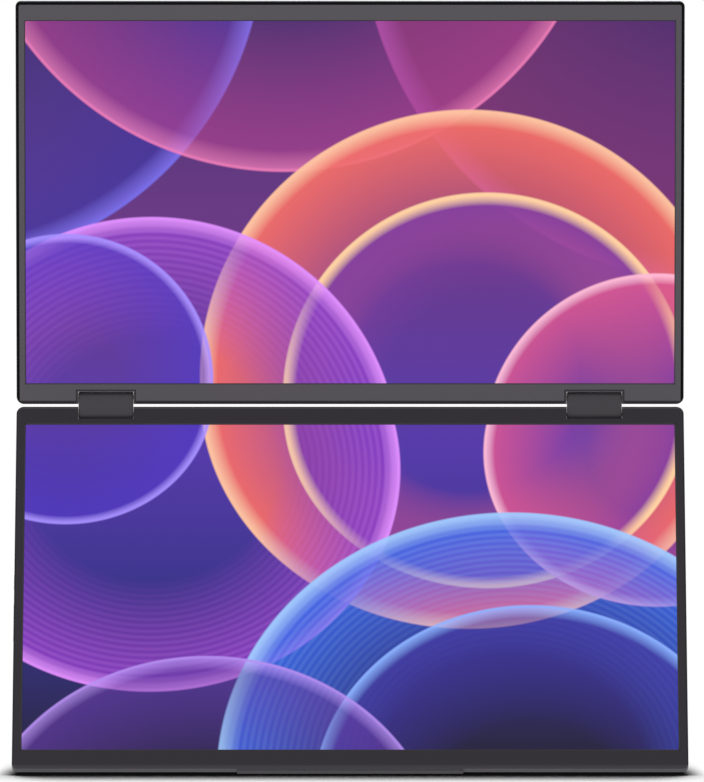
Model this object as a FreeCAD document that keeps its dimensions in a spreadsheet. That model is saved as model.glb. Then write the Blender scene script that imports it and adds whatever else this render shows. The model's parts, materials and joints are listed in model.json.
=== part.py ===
import FreeCAD, Part
import math
import os
import re

import Sketcher

# Laptop screen extender: two stacked screens on a pair of two-axle hinge blocks.
# The lower half leans back on a rear stand, the upper half stands upright.
# The origin is on the flat of the front foot strip, +Y points to the back and +Z up.
#
# Each half is drawn lying flat in its own frame: X along the hinge line, Y away from
# the hinge, Z towards the viewer, with the axle of that half on the X axis.

# Driving sizes in millimetres and degrees: name, value, meaning.
SIZES = (
    ("screen_width", 344.2, "lit width of each screen"),
    ("screen_height", 193.6, "lit height of each screen"),
    ("side_bezel", 4.5, "frame beside the lit area"),
    ("free_bezel", 9.7, "frame at the edge away from the hinge"),
    ("hinge_bezel", 10.65, "frame at the hinge edge"),
    ("hinge_edge", 3.2, "casing edge beyond its own axle"),
    ("case_depth", 8.0, "casing thickness"),
    ("hinge_corner", 4.0, "casing corners beside the hinge edge"),
    ("free_corner", 2.8, "casing corners at the free edge"),
    ("rim_radius", 2.0, "rounding along the casing edges"),
    ("seam_height", 1.6, "joint between frame and rear cover, above the axle plane"),
    ("lip_thickness", 0.8, "frame in front of the glass"),
    ("wall", 1.2, "side wall of the casing"),
    ("skin", 1.0, "rear face of the casing"),
    ("seat_gap", 0.1, "clearance round pieces that drop into the casing"),
    ("lower_lean", 35.0, "lower half behind the upright"),
    ("floor_gap", 0.65, "casing above the surface it stands on"),
    ("glass_side", 2.9, "dark border of the panel beside the lit area"),
    ("glass_near", 1.85, "dark border of the panel at the hinge"),
    ("glass_far", 6.0, "dark border of the panel at the free edge"),
    ("panel_thickness", 1.0, "liquid crystal panel"),
    ("guide_thickness", 1.0, "light guide and films"),
    ("guide_margin", 1.0, "light guide beyond the lit area"),
    ("led_width", 2.0, "row of light sources"),
    ("tray_thickness", 0.4, "sheet metal of the backlight tray"),
    ("driver_length", 120.0, "panel driver board"),
    ("driver_width", 14.0, "panel driver board"),
    ("driver_start", 26.0, "panel driver board from the axle"),
    ("board_thickness", 0.6, "panel driver board"),
    ("chip_size", 7.0, "chips on the boards"),
    ("chip_height", 0.6, "chips on the boards"),
    ("plug_length", 10.0, "ribbon plug on a driver board"),
    ("plug_width", 7.0, "ribbon plug on a driver board"),
    ("hinge_inset", 47.3, "middle of each hinge block from the casing side"),
    ("block_width", 29.0, "hinge block along the axle"),
    ("block_radius", 3.0, "rounded ends of the hinge block"),
    ("axle_spacing", 9.0, "distance between the two axles"),
    ("block_wall", 0.7, "wall of the hinge cover"),
    ("block_end", 0.8, "end walls of the hinge block"),
    ("block_edge", 0.5, "rounding at the block ends"),
    ("block_gap", 0.15, "free space beside a hinge block"),
    ("trim_body", 1.25, "notch trim beside a hinge block"),
    ("notch_depth", 4.7, "notch floor beyond the axle"),
    ("notch_wall", 0.8, "wall round the hinge notch"),
    ("trim_wall", 0.7, "notch trim at the front"),
    ("trim_floor_gap", 0.5, "notch trim above the block end"),
    ("trim_step", 1.0, "depth of the groove round the notch trim"),
    ("axle_radius", 0.9, "hinge axle"),
    ("axle_reach", 16.3, "hinge axle beyond its block, towards the middle"),
    ("fit_gap", 0.02, "fixed pieces on an axle"),
    ("running_gap", 0.03, "turning pieces on an axle"),
    ("bracket_gap", 4.8, "hinge bracket from its block"),
    ("bracket_length", 26.0, "hinge bracket along the axle"),
    ("bracket_reach", 24.0, "hinge bracket away from the axle"),
    ("bracket_start", 3.0, "flat of the hinge bracket from the axle"),
    ("bracket_thickness", 1.0, "hinge bracket"),
    ("eye_radius", 1.9, "eye of the hinge bracket"),
    ("eye_length", 12.0, "eye of the hinge bracket"),
    ("boss_height", 1.0, "screw bosses under the hinge bracket"),
    ("boss_radius", 2.0, "screw bosses"),
    ("screw_radius", 0.8, "screw shanks"),
    ("screw_head_radius", 1.6, "screw heads"),
    ("screw_head_height", 0.6, "screw heads"),
    ("screw_gap", 0.1, "hole round a screw shank"),
    ("screw_bite", 0.9, "screw in its boss"),
    ("play", 0.1, "axial play between the pieces of the hinge"),
    ("link_thickness", 1.6, "steel link of the hinge"),
    ("gear_width", 2.0, "gears of the hinge"),
    ("gear_root", 1.2, "gear body radius"),
    ("gear_tip", 1.7, "gear tip radius"),
    ("tooth_pitch_width", 0.26, "tooth at the pitch circle"),
    ("tooth_tip_width", 0.14, "tooth at its tip"),
    ("pin_radius", 0.6, "idler gear pins"),
    ("barrel_length", 14.0, "friction barrel"),
    ("barrel_radius", 2.2, "friction barrel"),
    ("washer_radius", 2.1, "spring washers"),
    ("washer_thickness", 0.5, "spring washers"),
    ("nut_radius", 2.05, "hinge nut across its corners"),
    ("nut_length", 2.0, "hinge nut"),
    ("cable_radius", 0.8, "signal cable through the hinge"),
    ("cable_gap", 0.1, "hole round the signal cable"),
    ("cable_turn", 1.6, "signal cable folded inside the block"),
    ("ribbon_width", 5.0, "flat end of the signal cable"),
    ("ribbon_thickness", 0.3, "flat cables"),
    ("board_gap", 10.0, "main board from the speakers"),
    ("board_length", 78.0, "main board"),
    ("board_side_gap", 2.6, "main board from the casing side"),
    ("board_width", 52.0, "main board"),
    ("board_sheet", 0.8, "main and key boards"),
    ("board_lift", 1.5, "main board above the rear skin"),
    ("board_hole_inset", 4.0, "main board screws from its corners"),
    ("board_hole_side", 9.0, "outer main board screws from the board edge"),
    ("socket_height", 3.2, "sockets in the casing side"),
    ("socket_level", -1.1, "sockets and keys from the axle plane"),
    ("socket_depth", 7.5, "sockets into the casing"),
    ("socket_wall", 0.3, "metal of the sockets"),
    ("socket_inset", 0.1, "sockets behind the casing side"),
    ("data_port_width", 8.94, "oval data socket"),
    ("first_port", 12.0, "first data socket from the board edge"),
    ("second_port", 28.0, "second data socket from the board edge"),
    ("video_port", 46.0, "video socket from the board edge"),
    ("video_port_width", 11.2, "video socket"),
    ("tongue_thickness", 0.7, "contact tongue in the sockets"),
    ("tongue_depth", 5.0, "contact tongue in the sockets"),
    ("tongue_margin", 1.6, "contact tongue from the socket ends"),
    ("key_proud", 0.15, "keys above the casing side"),
    ("key_height", 2.0, "keys across the casing"),
    ("key_gap", 0.1, "hole round the keys"),
    ("key_flange", 0.6, "flange behind the power key"),
    ("power_length", 9.0, "power key"),
    ("power_key", 10.0, "power key from the key board edge"),
    ("key_play", 0.5, "key stems before their switches"),
    ("stem_radius", 0.6, "key stems"),
    ("stem_length", 1.6, "key stems"),
    ("rocker_length", 22.0, "menu rocker"),
    ("rocker_key", 34.0, "menu rocker from the key board edge"),
    ("rocker_stem_place", 8.0, "rocker stems from the middle of the rocker"),
    ("rocker_pivot", 2.7, "rocker pivot behind the casing side"),
    ("pivot_radius", 0.55, "rocker pivot"),
    ("pivot_boss", 1.1, "boss round the rocker pivot"),
    ("pivot_boss_height", 0.7, "boss round the rocker pivot"),
    ("switch_size", 4.3, "key switches"),
    ("switch_height", 2.0, "key switches"),
    ("key_board_width", 9.8, "key board"),
    ("key_board_near", 90.0, "key board from the lower axle"),
    ("key_board_length", 50.0, "key board"),
    ("speaker_side_gap", 10.6, "speakers from the casing side"),
    ("speaker_length", 46.0, "speakers"),
    ("speaker_far_gap", 14.05, "speakers from the free edge"),
    ("speaker_width", 36.0, "speakers"),
    ("speaker_height", 3.0, "speakers"),
    ("slot_width", 1.2, "sound slots in the rear face"),
    ("slot_pitch", 4.0, "sound slots in the rear face"),
    ("slot_margin", 8.0, "sound slots from the speaker ends"),
    ("stand_axle", 60.0, "stand axle from the lower axle"),
    ("stand_axle_depth", -2.65, "stand axle from the axle plane"),
    ("stand_side_margin", 66.6, "stand from the casing side"),
    ("stand_thickness", 2.5, "stand plate"),
    ("stand_back", 27.5, "stand behind the upright"),
    ("stand_foot_depth", 5.0, "rubber on the end of the stand"),
    ("stand_corner", 8.0, "corners of the stand"),
    ("stand_flat", 0.12, "flat worn on the stand foot"),
    ("recess_depth", 2.7, "recess for the stand"),
    ("recess_side_gap", 2.0, "recess beside the stand"),
    ("recess_near_gap", 3.0, "recess beyond the stand axle"),
    ("recess_far_gap", 4.0, "recess beyond the stand foot"),
    ("lug_middle", 70.0, "stand lugs from the middle"),
    ("lug_width", 12.0, "stand lugs"),
    ("lug_radius", 1.2, "stand lugs"),
    ("lug_gap", 0.3, "stand beside its lugs"),
    ("lug_slot", 2.2, "slot in the stand beyond its axle"),
    ("stand_pin_radius", 0.7, "stand pins"),
    ("stand_pin_length", 24.0, "stand pins"),
    ("foot_length", 118.0, "front foot strip"),
    ("foot_front", 0.9, "front foot strip, front side from the axle plane"),
    ("foot_rear", -3.3, "front foot strip, rear side from the axle plane"),
    ("foot_seat", 0.5, "groove for the foot strip"),
    ("foot_proud", 0.8, "foot strip beyond the casing"),
)

GEAR_TEETH = 12
GEARS_IN_TRAIN = 4
WASHERS = 3
SOUND_SLOTS = 6
NUT_SIDES = 6
SIDES = (-1, 1)
STEP_DIRECTORY = "parts"
TOLERANCE = 1e-6

ALIASES = {alias for alias, _, _ in SIZES}

doc = FreeCAD.newDocument("laptop_screen_extender")
sheet = doc.addObject("Spreadsheet::Sheet", "Sizes")
for row, (alias, amount, meaning) in enumerate(SIZES, 1):
    sheet.set(f"A{row}", meaning)
    sheet.set(f"B{row}", str(amount))
    sheet.setAlias(f"B{row}", alias)
doc.recompute()

# Places that several pieces share, worked out from the driving sizes.
PLACES = {
    "half_width": "screen_width / 2 + side_bezel",
    "half_depth": "case_depth / 2",
    "screen_near": "hinge_bezel - hinge_edge",
    "screen_far": "screen_near + screen_height",
    "case_far": "screen_far + free_bezel",
    "cover_floor": "skin - half_depth",
    "lip_back": "half_depth - lip_thickness",
    "inner_side": "half_width - wall",
    "panel_side": "screen_width / 2 + glass_side",
    "panel_near": "screen_near - glass_near",
    "panel_far": "screen_far + glass_far",
    "panel_back": "lip_back - panel_thickness",
    "guide_back": "panel_back - guide_thickness",
    "tray_back": "guide_back - tray_thickness",
    "strip_end": "panel_near + seat_gap",
    "hinge_centre": "half_width - hinge_inset",
    "lower_notch_side": "block_width / 2 + block_gap",
    "notch_side": "lower_notch_side + trim_body",
    "block_inner": "hinge_centre - block_width / 2",
    "block_outer": "hinge_centre + block_width / 2",
    "axle_inner": "block_inner - axle_reach",
    "bracket_outer": "block_inner - bracket_gap",
    "bracket_inner": "bracket_outer - bracket_length",
    "eye_inner": "bracket_outer - eye_length",
    "bracket_back": "cover_floor + boss_height",
    "bracket_front": "bracket_back + bracket_thickness",
    "driver_back": "tray_back - board_thickness",
    "driver_plug": "driver_back - chip_height",
    "board_back": "cover_floor + board_lift",
    "board_front": "board_back + board_sheet",
    "board_far": "speaker_near - board_gap",
    "board_near": "board_far - board_length",
    "board_outer": "half_width - board_side_gap",
    "board_inner": "board_outer - board_width",
    "data_port_near": "board_near + first_port",
    "data_port_far": "board_near + second_port",
    "video_port_place": "board_near + video_port",
    "key_board_front": "cover_floor + board_sheet",
    "key_board_far": "key_board_near + key_board_length",
    "key_board_inner": "switch_face - key_board_width",
    "power_place": "key_board_near + power_key",
    "rocker_place": "key_board_near + rocker_key",
    "speaker_outer": "half_width - speaker_side_gap",
    "speaker_inner": "speaker_outer - speaker_length",
    "speaker_far": "case_far - speaker_far_gap",
    "speaker_near": "speaker_far - speaker_width",
    "axle_height": "(case_far - rim_radius) * cos(lower_lean)"
    " + (half_depth - rim_radius) * sin(lower_lean) + rim_radius + floor_gap",
    "stand_axle_height": "axle_height - stand_axle * cos(lower_lean)"
    " + stand_axle_depth * sin(lower_lean)",
    "stand_length": "(stand_axle_height - stand_thickness / 2 + stand_flat) / cos(stand_back)",
    "stand_side": "half_width - stand_side_margin",
    "recess_floor": "recess_depth - half_depth",
    "tub_floor": "recess_floor + skin",
    "recess_side": "stand_side + recess_side_gap",
    "recess_near": "stand_axle - recess_near_gap",
    "recess_far": "stand_axle + stand_length + recess_far_gap",
    "gear_start": "block_inner + block_end + 2 * play + link_thickness",
    "second_link": "gear_start + gear_width + play",
    "barrel_start": "second_link + link_thickness + play",
    "washer_start": "barrel_start + barrel_length + play",
    "nut_start": f"washer_start + {WASHERS} * washer_thickness + play",
    "axle_outer": "nut_start + nut_length",
    "gear_spacing": f"axle_spacing / {GEARS_IN_TRAIN - 1}",
    "key_back": "half_width - rocker_pivot",
    "key_stem_end": "key_back - stem_length",
    "switch_face": "key_stem_end - key_play",
    "foot_bottom": "case_far + foot_proud",
}

BRACKET_SCREWS = (
    ("bracket_inner + 2 * boss_radius", "bracket_start + 3 * boss_radius"),
    ("bracket_outer - 2 * boss_radius", "bracket_start + 3 * boss_radius"),
    ("(bracket_inner + bracket_outer) / 2", "bracket_reach - 2 * boss_radius"),
)
BOARD_SCREWS = (
    ("board_hole_side - board_outer", "board_near + board_hole_inset"),
    ("board_hole_side - board_outer", "board_far - board_hole_inset"),
    ("-(board_inner + board_hole_inset)", "board_near + board_hole_inset"),
    ("-(board_inner + board_hole_inset)", "board_far - board_hole_inset"),
)


def bound(text):
    """An expression with each place spelled out and each size read from the sheet."""

    def read(word):
        if word.group() in PLACES:
            return f"({bound(PLACES[word.group()])})"
        return f"Sizes.{word.group()}" if word.group() in ALIASES else word.group()

    return re.sub(r"[a-z]\w+", read, str(text))


def number(text):
    """The present value of an expression."""
    return float(sheet.evalExpression(bound(text)))


def set_base(solid, place):
    """Binds the three coordinates of a solid's placement."""
    for axis, text in zip("xyz", place):
        solid.setExpression(f".Placement.Base.{axis}", bound(text))


def box(name, x, y, z):
    """A block between two expressions along each axis."""
    solid = doc.addObject("Part::Box", name)
    for size, (low, high) in zip(("Length", "Width", "Height"), (x, y, z)):
        solid.setExpression(size, bound(f"({high}) - ({low})"))
    set_base(solid, (x[0], y[0], z[0]))
    return solid


def rod(name, radius, start, end, y="0", z="0"):
    """A cylinder along X."""
    solid = doc.addObject("Part::Cylinder", name)
    solid.Placement = FreeCAD.Placement(
        FreeCAD.Vector(), FreeCAD.Rotation(FreeCAD.Vector(0, 1, 0), 90)
    )
    solid.setExpression("Radius", bound(radius))
    solid.setExpression("Height", bound(f"({end}) - ({start})"))
    set_base(solid, (start, y, z))
    return solid


def post(name, radius, x, y, low, high):
    """A cylinder along Z."""
    solid = doc.addObject("Part::Cylinder", name)
    solid.setExpression("Radius", bound(radius))
    solid.setExpression("Height", bound(f"({high}) - ({low})"))
    set_base(solid, (x, y, low))
    return solid


def fuse(name, *solids):
    """Several solids as one piece."""
    joined = doc.addObject("Part::MultiFuse", name)
    joined.Shapes = list(solids)
    joined.Refine = True
    return joined


def cut(name, base, *tools):
    """A solid with others taken out of it."""
    result = doc.addObject("Part::Cut", name)
    result.Base = base
    result.Tool = tools[0] if len(tools) == 1 else fuse(name + "_tools", *tools)
    result.Refine = True
    return result


def group(name, *solids):
    """Separate solids that share a node."""
    result = doc.addObject("Part::Compound", name)
    result.Links = list(solids)
    return result


def across(side, low, high):
    """The span low to high on one side of the middle, as two expressions."""
    if side > 0:
        return low, high
    return f"-({high})", f"-({low})"


def slot_bar(name, radius, width, start, end, y, z):
    """A bar along X with round ends, width measured along Y."""
    reach = f"({width}) / 2 - ({radius})"
    return fuse(
        name,
        rod(name + "_near", radius, start, end, f"({y}) - ({reach})", z),
        rod(name + "_far", radius, start, end, f"({y}) + ({reach})", z),
        box(
            name + "_middle",
            (start, end),
            (f"({y}) - ({reach})", f"({y}) + ({reach})"),
            (f"({z}) - ({radius})", f"({z}) + ({radius})"),
        ),
    )


def origin_plane(body, role):
    """One of a body's own origin planes."""
    return next(plane for plane in body.Origin.OriginFeatures if plane.Role == role)


def flat_sketch(body, name, level):
    """An empty sketch parallel to the face of the half, at a level."""
    sketch = body.newObject("Sketcher::SketchObject", name)
    sketch.AttachmentSupport = [(origin_plane(body, "XY_Plane"), "")]
    sketch.MapMode = "FlatFace"
    sketch.setExpression(".AttachmentOffset.Base.z", bound(level))
    return sketch


def draw_rectangle(sketch, x, y):
    """Adds a rectangle whose corners are held by expressions."""
    first = len(sketch.Geometry)
    corners = [
        FreeCAD.Vector(number(a), number(b), 0)
        for a, b in ((x[0], y[0]), (x[1], y[0]), (x[1], y[1]), (x[0], y[1]))
    ]
    for here, there in zip(corners, corners[1:] + corners[:1]):
        sketch.addGeometry(Part.LineSegment(here, there), False)
    for index in range(len(corners)):
        following = first + (index + 1) % len(corners)
        sketch.addConstraint(Sketcher.Constraint("Coincident", first + index, 2, following, 1))
        direction = "Vertical" if index % 2 else "Horizontal"
        sketch.addConstraint(Sketcher.Constraint(direction, first + index))
    for line, place in ((first, (x[0], y[0])), (first + 2, (x[1], y[1]))):
        for kind, text in zip(("DistanceX", "DistanceY"), place):
            rule = Sketcher.Constraint(kind, -1, 1, line, 1, number(text))
            index = sketch.addConstraint(rule)
            sketch.setExpression(f"Constraints[{index}]", bound(text))


def pad(body, name, level, top, *rectangles):
    """Adds material between two levels over the rectangles."""
    sketch = flat_sketch(body, name + "_sketch", level)
    for x, y in rectangles:
        draw_rectangle(sketch, x, y)
    feature = body.newObject("PartDesign::Pad", name)
    feature.Profile = sketch
    feature.setExpression("Length", bound(f"({top}) - ({level})"))
    doc.recompute()
    return feature


def pocket(body, name, level, top, *rectangles):
    """Takes the material between two levels out of the rectangles."""
    before = body.Shape.Volume
    sketch = flat_sketch(body, name + "_sketch", top)
    for x, y in rectangles:
        draw_rectangle(sketch, x, y)
    feature = body.newObject("PartDesign::Pocket", name)
    feature.Profile = sketch
    feature.setExpression("Length", bound(f"({top}) - ({level})"))
    doc.recompute()
    if not body.Shape.Volume < before:
        raise RuntimeError(f"{name} cuts nothing")
    return feature


def round_edges(body, name, radius, chosen):
    """Rounds the edges of the body's last feature for which chosen(edge) holds."""
    base = body.Tip
    names = [
        f"Edge{index}" for index, edge in enumerate(base.Shape.Edges, 1) if chosen(edge)
    ]
    feature = body.newObject("PartDesign::Fillet", name)
    feature.Base = (base, names)
    feature.setExpression("Radius", bound(radius))
    doc.recompute()
    return feature


def upright_at(place):
    """A test for edges parallel to Z at one distance from the hinge."""
    distance = number(place)

    def chosen(edge):
        bounds = edge.BoundBox
        straight = max(bounds.XLength, bounds.YLength) < TOLERANCE < bounds.ZLength
        return straight and abs(bounds.YMax - distance) < TOLERANCE

    return chosen


def at_level(level):
    """A test for edges that lie in the plane at one level."""
    height = number(level)

    def chosen(edge):
        bounds = edge.BoundBox
        return max(abs(bounds.ZMin - height), abs(bounds.ZMax - height)) < TOLERANCE

    return chosen


def turn(axis, angle):
    """A rotation about an axis through the origin."""
    return FreeCAD.Placement(FreeCAD.Vector(), FreeCAD.Rotation(FreeCAD.Vector(*axis), angle))


# Frames of the moving bodies in the standing position.
lean = math.radians(number("lower_lean"))
axle_height = number("axle_height")
# The floor cuts the lowest corner off the foot strip. The middle of that cut is the origin.
cut_front = (number("foot_bottom") * math.cos(lean) - axle_height) / math.sin(lean)
cut_low = (axle_height + number("foot_rear") * math.sin(lean)) / math.cos(lean)
cut_middle_out = (number("foot_bottom") + cut_low) / 2
cut_middle_front = (cut_front + number("foot_rear")) / 2
axle_back = cut_middle_out * math.sin(lean) + cut_middle_front * math.cos(lean)

lower_axle = FreeCAD.Placement(
    FreeCAD.Vector(0, axle_back, axle_height), FreeCAD.Rotation()
)
LOWER = (
    lower_axle
    * turn((1, 0, 0), -number("lower_lean"))
    * turn((0, 1, 0), 180)
    * turn((1, 0, 0), 90)
)
BLOCKS = lower_axle * turn((1, 0, 0), 90 - number("lower_lean") / 2)
upper_axle = BLOCKS.multVec(FreeCAD.Vector(0, number("axle_spacing"), 0))
UPPER = FreeCAD.Placement(upper_axle, FreeCAD.Rotation(FreeCAD.Vector(1, 0, 0), 90))

stand_axle = LOWER.multVec(
    FreeCAD.Vector(0, number("stand_axle"), number("stand_axle_depth"))
)
stand_opening = number("lower_lean") + number("stand_back")
STAND = (
    LOWER
    * FreeCAD.Placement(
        FreeCAD.Vector(0, number("stand_axle"), number("stand_axle_depth")),
        FreeCAD.Rotation(FreeCAD.Vector(1, 0, 0), -stand_opening),
    )
)

pieces = []


def keep(piece, label, frame):
    """Names a finished piece and sets it in its frame."""
    piece.Label = label
    piece.Placement = frame
    pieces.append(piece)


def under_floor(name, frame):
    """All space below the floor, as seen from a frame."""
    block = doc.addObject("Part::Box", name)
    block.setExpression("Length", bound("2 * screen_width"))
    block.setExpression("Width", bound("2 * screen_width"))
    block.setExpression("Height", bound("screen_width"))
    reach = number("screen_width")
    corner = FreeCAD.Placement(FreeCAD.Vector(-reach, -reach, -reach), FreeCAD.Rotation())
    block.Placement = frame.inverse() * corner
    return block


# Casing

WHOLE_FACE = (("-half_width", "half_width"), ("-hinge_edge", "case_far"))
NOTCH_SIDES = {"upper": "notch_side", "lower": "lower_notch_side"}
PANEL_SPACE = (
    ("-(panel_side + seat_gap)", "panel_side + seat_gap"),
    ("panel_near - seat_gap", "panel_far + seat_gap"),
)
STRIP = ("wall - hinge_edge", "strip_end")


def notches(half):
    """The openings for the two hinge blocks."""
    reach = NOTCH_SIDES[half]
    return [
        (across(side, f"hinge_centre - {reach}", f"hinge_centre + {reach}"),
         ("-2 * hinge_edge", "notch_depth"))
        for side in SIDES
    ]


def hinge_strips(half):
    """The hollow strips between and beside the notches."""
    reach = f"{NOTCH_SIDES[half]} + notch_wall"
    between = ((f"-(hinge_centre - ({reach}))", f"hinge_centre - ({reach})"), STRIP)
    beside = [(across(side, f"hinge_centre + {reach}", "inner_side"), STRIP) for side in SIDES]
    return [between, *beside]


def case_blank(body, low, high, rounded):
    """The outline of the casing between two levels, with its outer edge rounded."""
    pad(body, "outline", low, high, WHOLE_FACE)
    round_edges(body, "hinge_corners", "hinge_corner", upright_at("-hinge_edge"))
    round_edges(body, "free_corners", "free_corner", upright_at("case_far"))
    round_edges(body, "rim", "rim_radius", at_level(rounded))


def front_bezel(half, frame):
    """The front frame: a lip round the screen, a low wall and the two hinge notches."""
    body = doc.addObject("PartDesign::Body", half + "_bezel_body")
    case_blank(body, "seam_height", "half_depth", "half_depth")
    window = (("-screen_width / 2", "screen_width / 2"), ("screen_near", "screen_far"))
    pocket(body, "window", "seam_height", "half_depth", window)
    pocket(body, "panel_seat", "seam_height", "lip_back", PANEL_SPACE)
    pocket(body, "hinge_strips", "seam_height", "lip_back", *hinge_strips(half))
    pocket(body, "notches", "seam_height", "half_depth", *notches(half))
    keep(body, half + "_front_bezel", frame)


def hollow_cover(half):
    """The rear shell with its rounded rim, hollow inside, and the two hinge notches."""
    body = doc.addObject("PartDesign::Body", half + "_cover_body")
    case_blank(body, "-half_depth", "seam_height", "-half_depth")
    inside = (("-inner_side", "inner_side"), ("panel_near - seat_gap", "case_far - wall"))
    pocket(body, "inside", "cover_floor", "seam_height", inside)
    pocket(body, "hinge_strips", "cover_floor", "seam_height", *hinge_strips(half))
    pocket(body, "notches", "-half_depth", "seam_height", *notches(half))
    return body


def screw_bosses(name, places, height):
    """Short posts on the rear skin with a bore for each screw."""
    return [
        cut(
            f"{name}_boss_{index}",
            post(f"{name}_post_{index}", "boss_radius", x, y, "cover_floor", height),
            post(f"{name}_bore_{index}", "screw_radius + fit_gap", x, y, "cover_floor", height),
        )
        for index, (x, y) in enumerate(places)
    ]


def bracket_places():
    """The screws of the left and right hinge bracket."""
    return [
        (x if side > 0 else f"-({x})", y) for side in SIDES for x, y in BRACKET_SCREWS
    ]


def axle_holes(half):
    """Holes for the two axles through the inner walls of the notches."""
    return [
        rod(
            f"{half}_axle_hole_{side}",
            "axle_radius + seat_gap",
            *across(side, "hinge_centre - notch_side - 2 * notch_wall", "block_inner"),
        )
        for side in SIDES
    ]


def cable_hole(half, side):
    """The hole for the signal cable through the outer wall of one notch."""
    return rod(
        half + "_cable_hole",
        "cable_radius + cable_gap",
        *across(side, "block_outer", "hinge_centre + notch_side + 2 * notch_wall"),
    )


def upper_rear_cover():
    """The rear shell of the upper half."""
    shell = fuse(
        "upper_shell", hollow_cover("upper"),
        *screw_bosses("upper", bracket_places(), "bracket_back"),
    )
    cover = cut("upper_cover", shell, *axle_holes("upper"), cable_hole("upper", 1))
    keep(cover, "upper_rear_cover", UPPER)


def stand_lug(side):
    """The ear on the lower rear shell that carries one stand pin."""
    span = across(side, "lug_middle - lug_width / 2", "lug_middle + lug_width / 2")
    return fuse(
        f"lug_{side}",
        rod(f"lug_round_{side}", "lug_radius", *span, "stand_axle", "stand_axle_depth"),
        box(
            f"lug_neck_{side}", span,
            ("stand_axle - lug_radius", "stand_axle + lug_radius"),
            ("stand_axle_depth", "recess_floor"),
        ),
    )


def stand_pin_span(side):
    """The ends of one stand pin."""
    return across(
        side, "lug_middle - stand_pin_length / 2", "lug_middle + stand_pin_length / 2"
    )


def sound_slots(side):
    """The sound slots in the rear skin under one speaker."""
    slots = []
    for index in range(SOUND_SLOTS):
        middle = f"(speaker_inner + speaker_outer) / 2 + {index - (SOUND_SLOTS - 1) / 2} * slot_pitch"
        slots.append(
            box(
                f"sound_slot_{side}_{index}",
                across(side, f"{middle} - slot_width / 2", f"{middle} + slot_width / 2"),
                ("speaker_near + slot_margin", "speaker_far - slot_margin"),
                ("-half_depth - skin", "cover_floor"),
            )
        )
    return slots


PORTS = (
    ("first_port", "data_port_near", "data_port_width"),
    ("second_port", "data_port_far", "data_port_width"),
    ("video_port", "video_port_place", "video_port_width"),
)


def lower_rear_cover():
    """The rear shell of the lower half, with the stand recess, sockets, keys and foot groove."""
    body = hollow_cover("lower")
    tub = (
        ("-(recess_side + wall)", "recess_side + wall"),
        ("recess_near - wall", "recess_far + wall"),
    )
    pad(body, "stand_tub", "cover_floor - skin / 2", "tub_floor", tub)
    recess = (("-recess_side", "recess_side"), ("recess_near", "recess_far"))
    pocket(body, "stand_recess", "-half_depth - skin", "recess_floor", recess)
    rocker_boss = cut(
        "rocker_boss",
        post("rocker_boss_post", "pivot_boss", "key_back", "rocker_place",
             "cover_floor", "cover_floor + pivot_boss_height"),
        post("rocker_boss_bore", "pivot_radius + 2 * running_gap", "key_back", "rocker_place",
             "cover_floor", "cover_floor + pivot_boss_height"),
    )
    shell = fuse(
        "lower_shell", body,
        *screw_bosses("lower", bracket_places(), "bracket_back"),
        *screw_bosses("board", BOARD_SCREWS, "board_back"),
        *[stand_lug(side) for side in SIDES],
        rocker_boss,
    )
    wall_span = ("inner_side - wall", "half_width + wall")
    port_span = across(-1, *wall_span)
    openings = [
        slot_bar(name + "_hole", "socket_height / 2 + seat_gap", f"{width} + 2 * seat_gap",
                 *port_span, place, "socket_level")
        for name, place, width in PORTS
    ]
    openings += [
        slot_bar(name + "_hole", "key_height / 2 + key_gap", f"{length} + 4 * key_gap",
                 *wall_span, place, "socket_level")
        for name, length, place in (
            ("power", "power_length", "power_place"),
            ("rocker", "rocker_length", "rocker_place"),
        )
    ]
    groove = box(
        "foot_groove", ("-foot_length / 2", "foot_length / 2"),
        ("case_far - foot_seat", "foot_bottom + foot_proud"), ("foot_rear", "foot_front"),
    )
    pin_bores = [
        rod(f"lug_bore_{side}", "stand_pin_radius + fit_gap", *stand_pin_span(side),
            "stand_axle", "stand_axle_depth")
        for side in SIDES
    ]
    cover = cut(
        "lower_cover", shell, *axle_holes("lower"), cable_hole("lower", -1), *openings,
        groove, *pin_bores, *sound_slots(-1), *sound_slots(1),
    )
    keep(cover, "lower_rear_cover", LOWER)


# Screen of one half


def lcd_panel(half, frame):
    """The glass panel behind the lip of the front frame."""
    glass = box(half + "_glass", ("-panel_side", "panel_side"), ("panel_near", "panel_far"),
                ("panel_back", "lip_back"))
    keep(group(half + "_panel", glass), half + "_lcd_panel", frame)


def light_guide(half, frame):
    """The clear plate and films that spread the light."""
    guide = box(
        half + "_guide",
        ("-(screen_width / 2 + guide_margin)", "screen_width / 2 + guide_margin"),
        ("screen_near - guide_margin", "screen_far + guide_margin"),
        ("guide_back", "panel_back"),
    )
    keep(group(half + "_guide_plate", guide), half + "_light_guide", frame)


def led_bar(half, frame):
    """The row of light sources along the free edge of the light guide."""
    start = "screen_far + guide_margin + seat_gap"
    bar = box(
        half + "_leds",
        ("-(screen_width / 2 + guide_margin)", "screen_width / 2 + guide_margin"),
        (start, f"{start} + led_width"), ("guide_back", "panel_back"),
    )
    keep(group(half + "_led_row", bar), half + "_led_bar", frame)


def backlight_tray(half, frame):
    """The folded metal tray behind the light guide."""
    sheet_metal = box(half + "_tray_sheet", ("-panel_side", "panel_side"),
                      ("panel_near", "panel_far"), ("tray_back", "panel_back"))
    space = box(
        half + "_tray_space",
        ("tray_thickness - panel_side", "panel_side - tray_thickness"),
        ("panel_near + tray_thickness", "panel_far - tray_thickness"),
        ("guide_back", "panel_back + tray_thickness"),
    )
    keep(cut(half + "_tray", sheet_metal, space), half + "_backlight_tray", frame)


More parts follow.
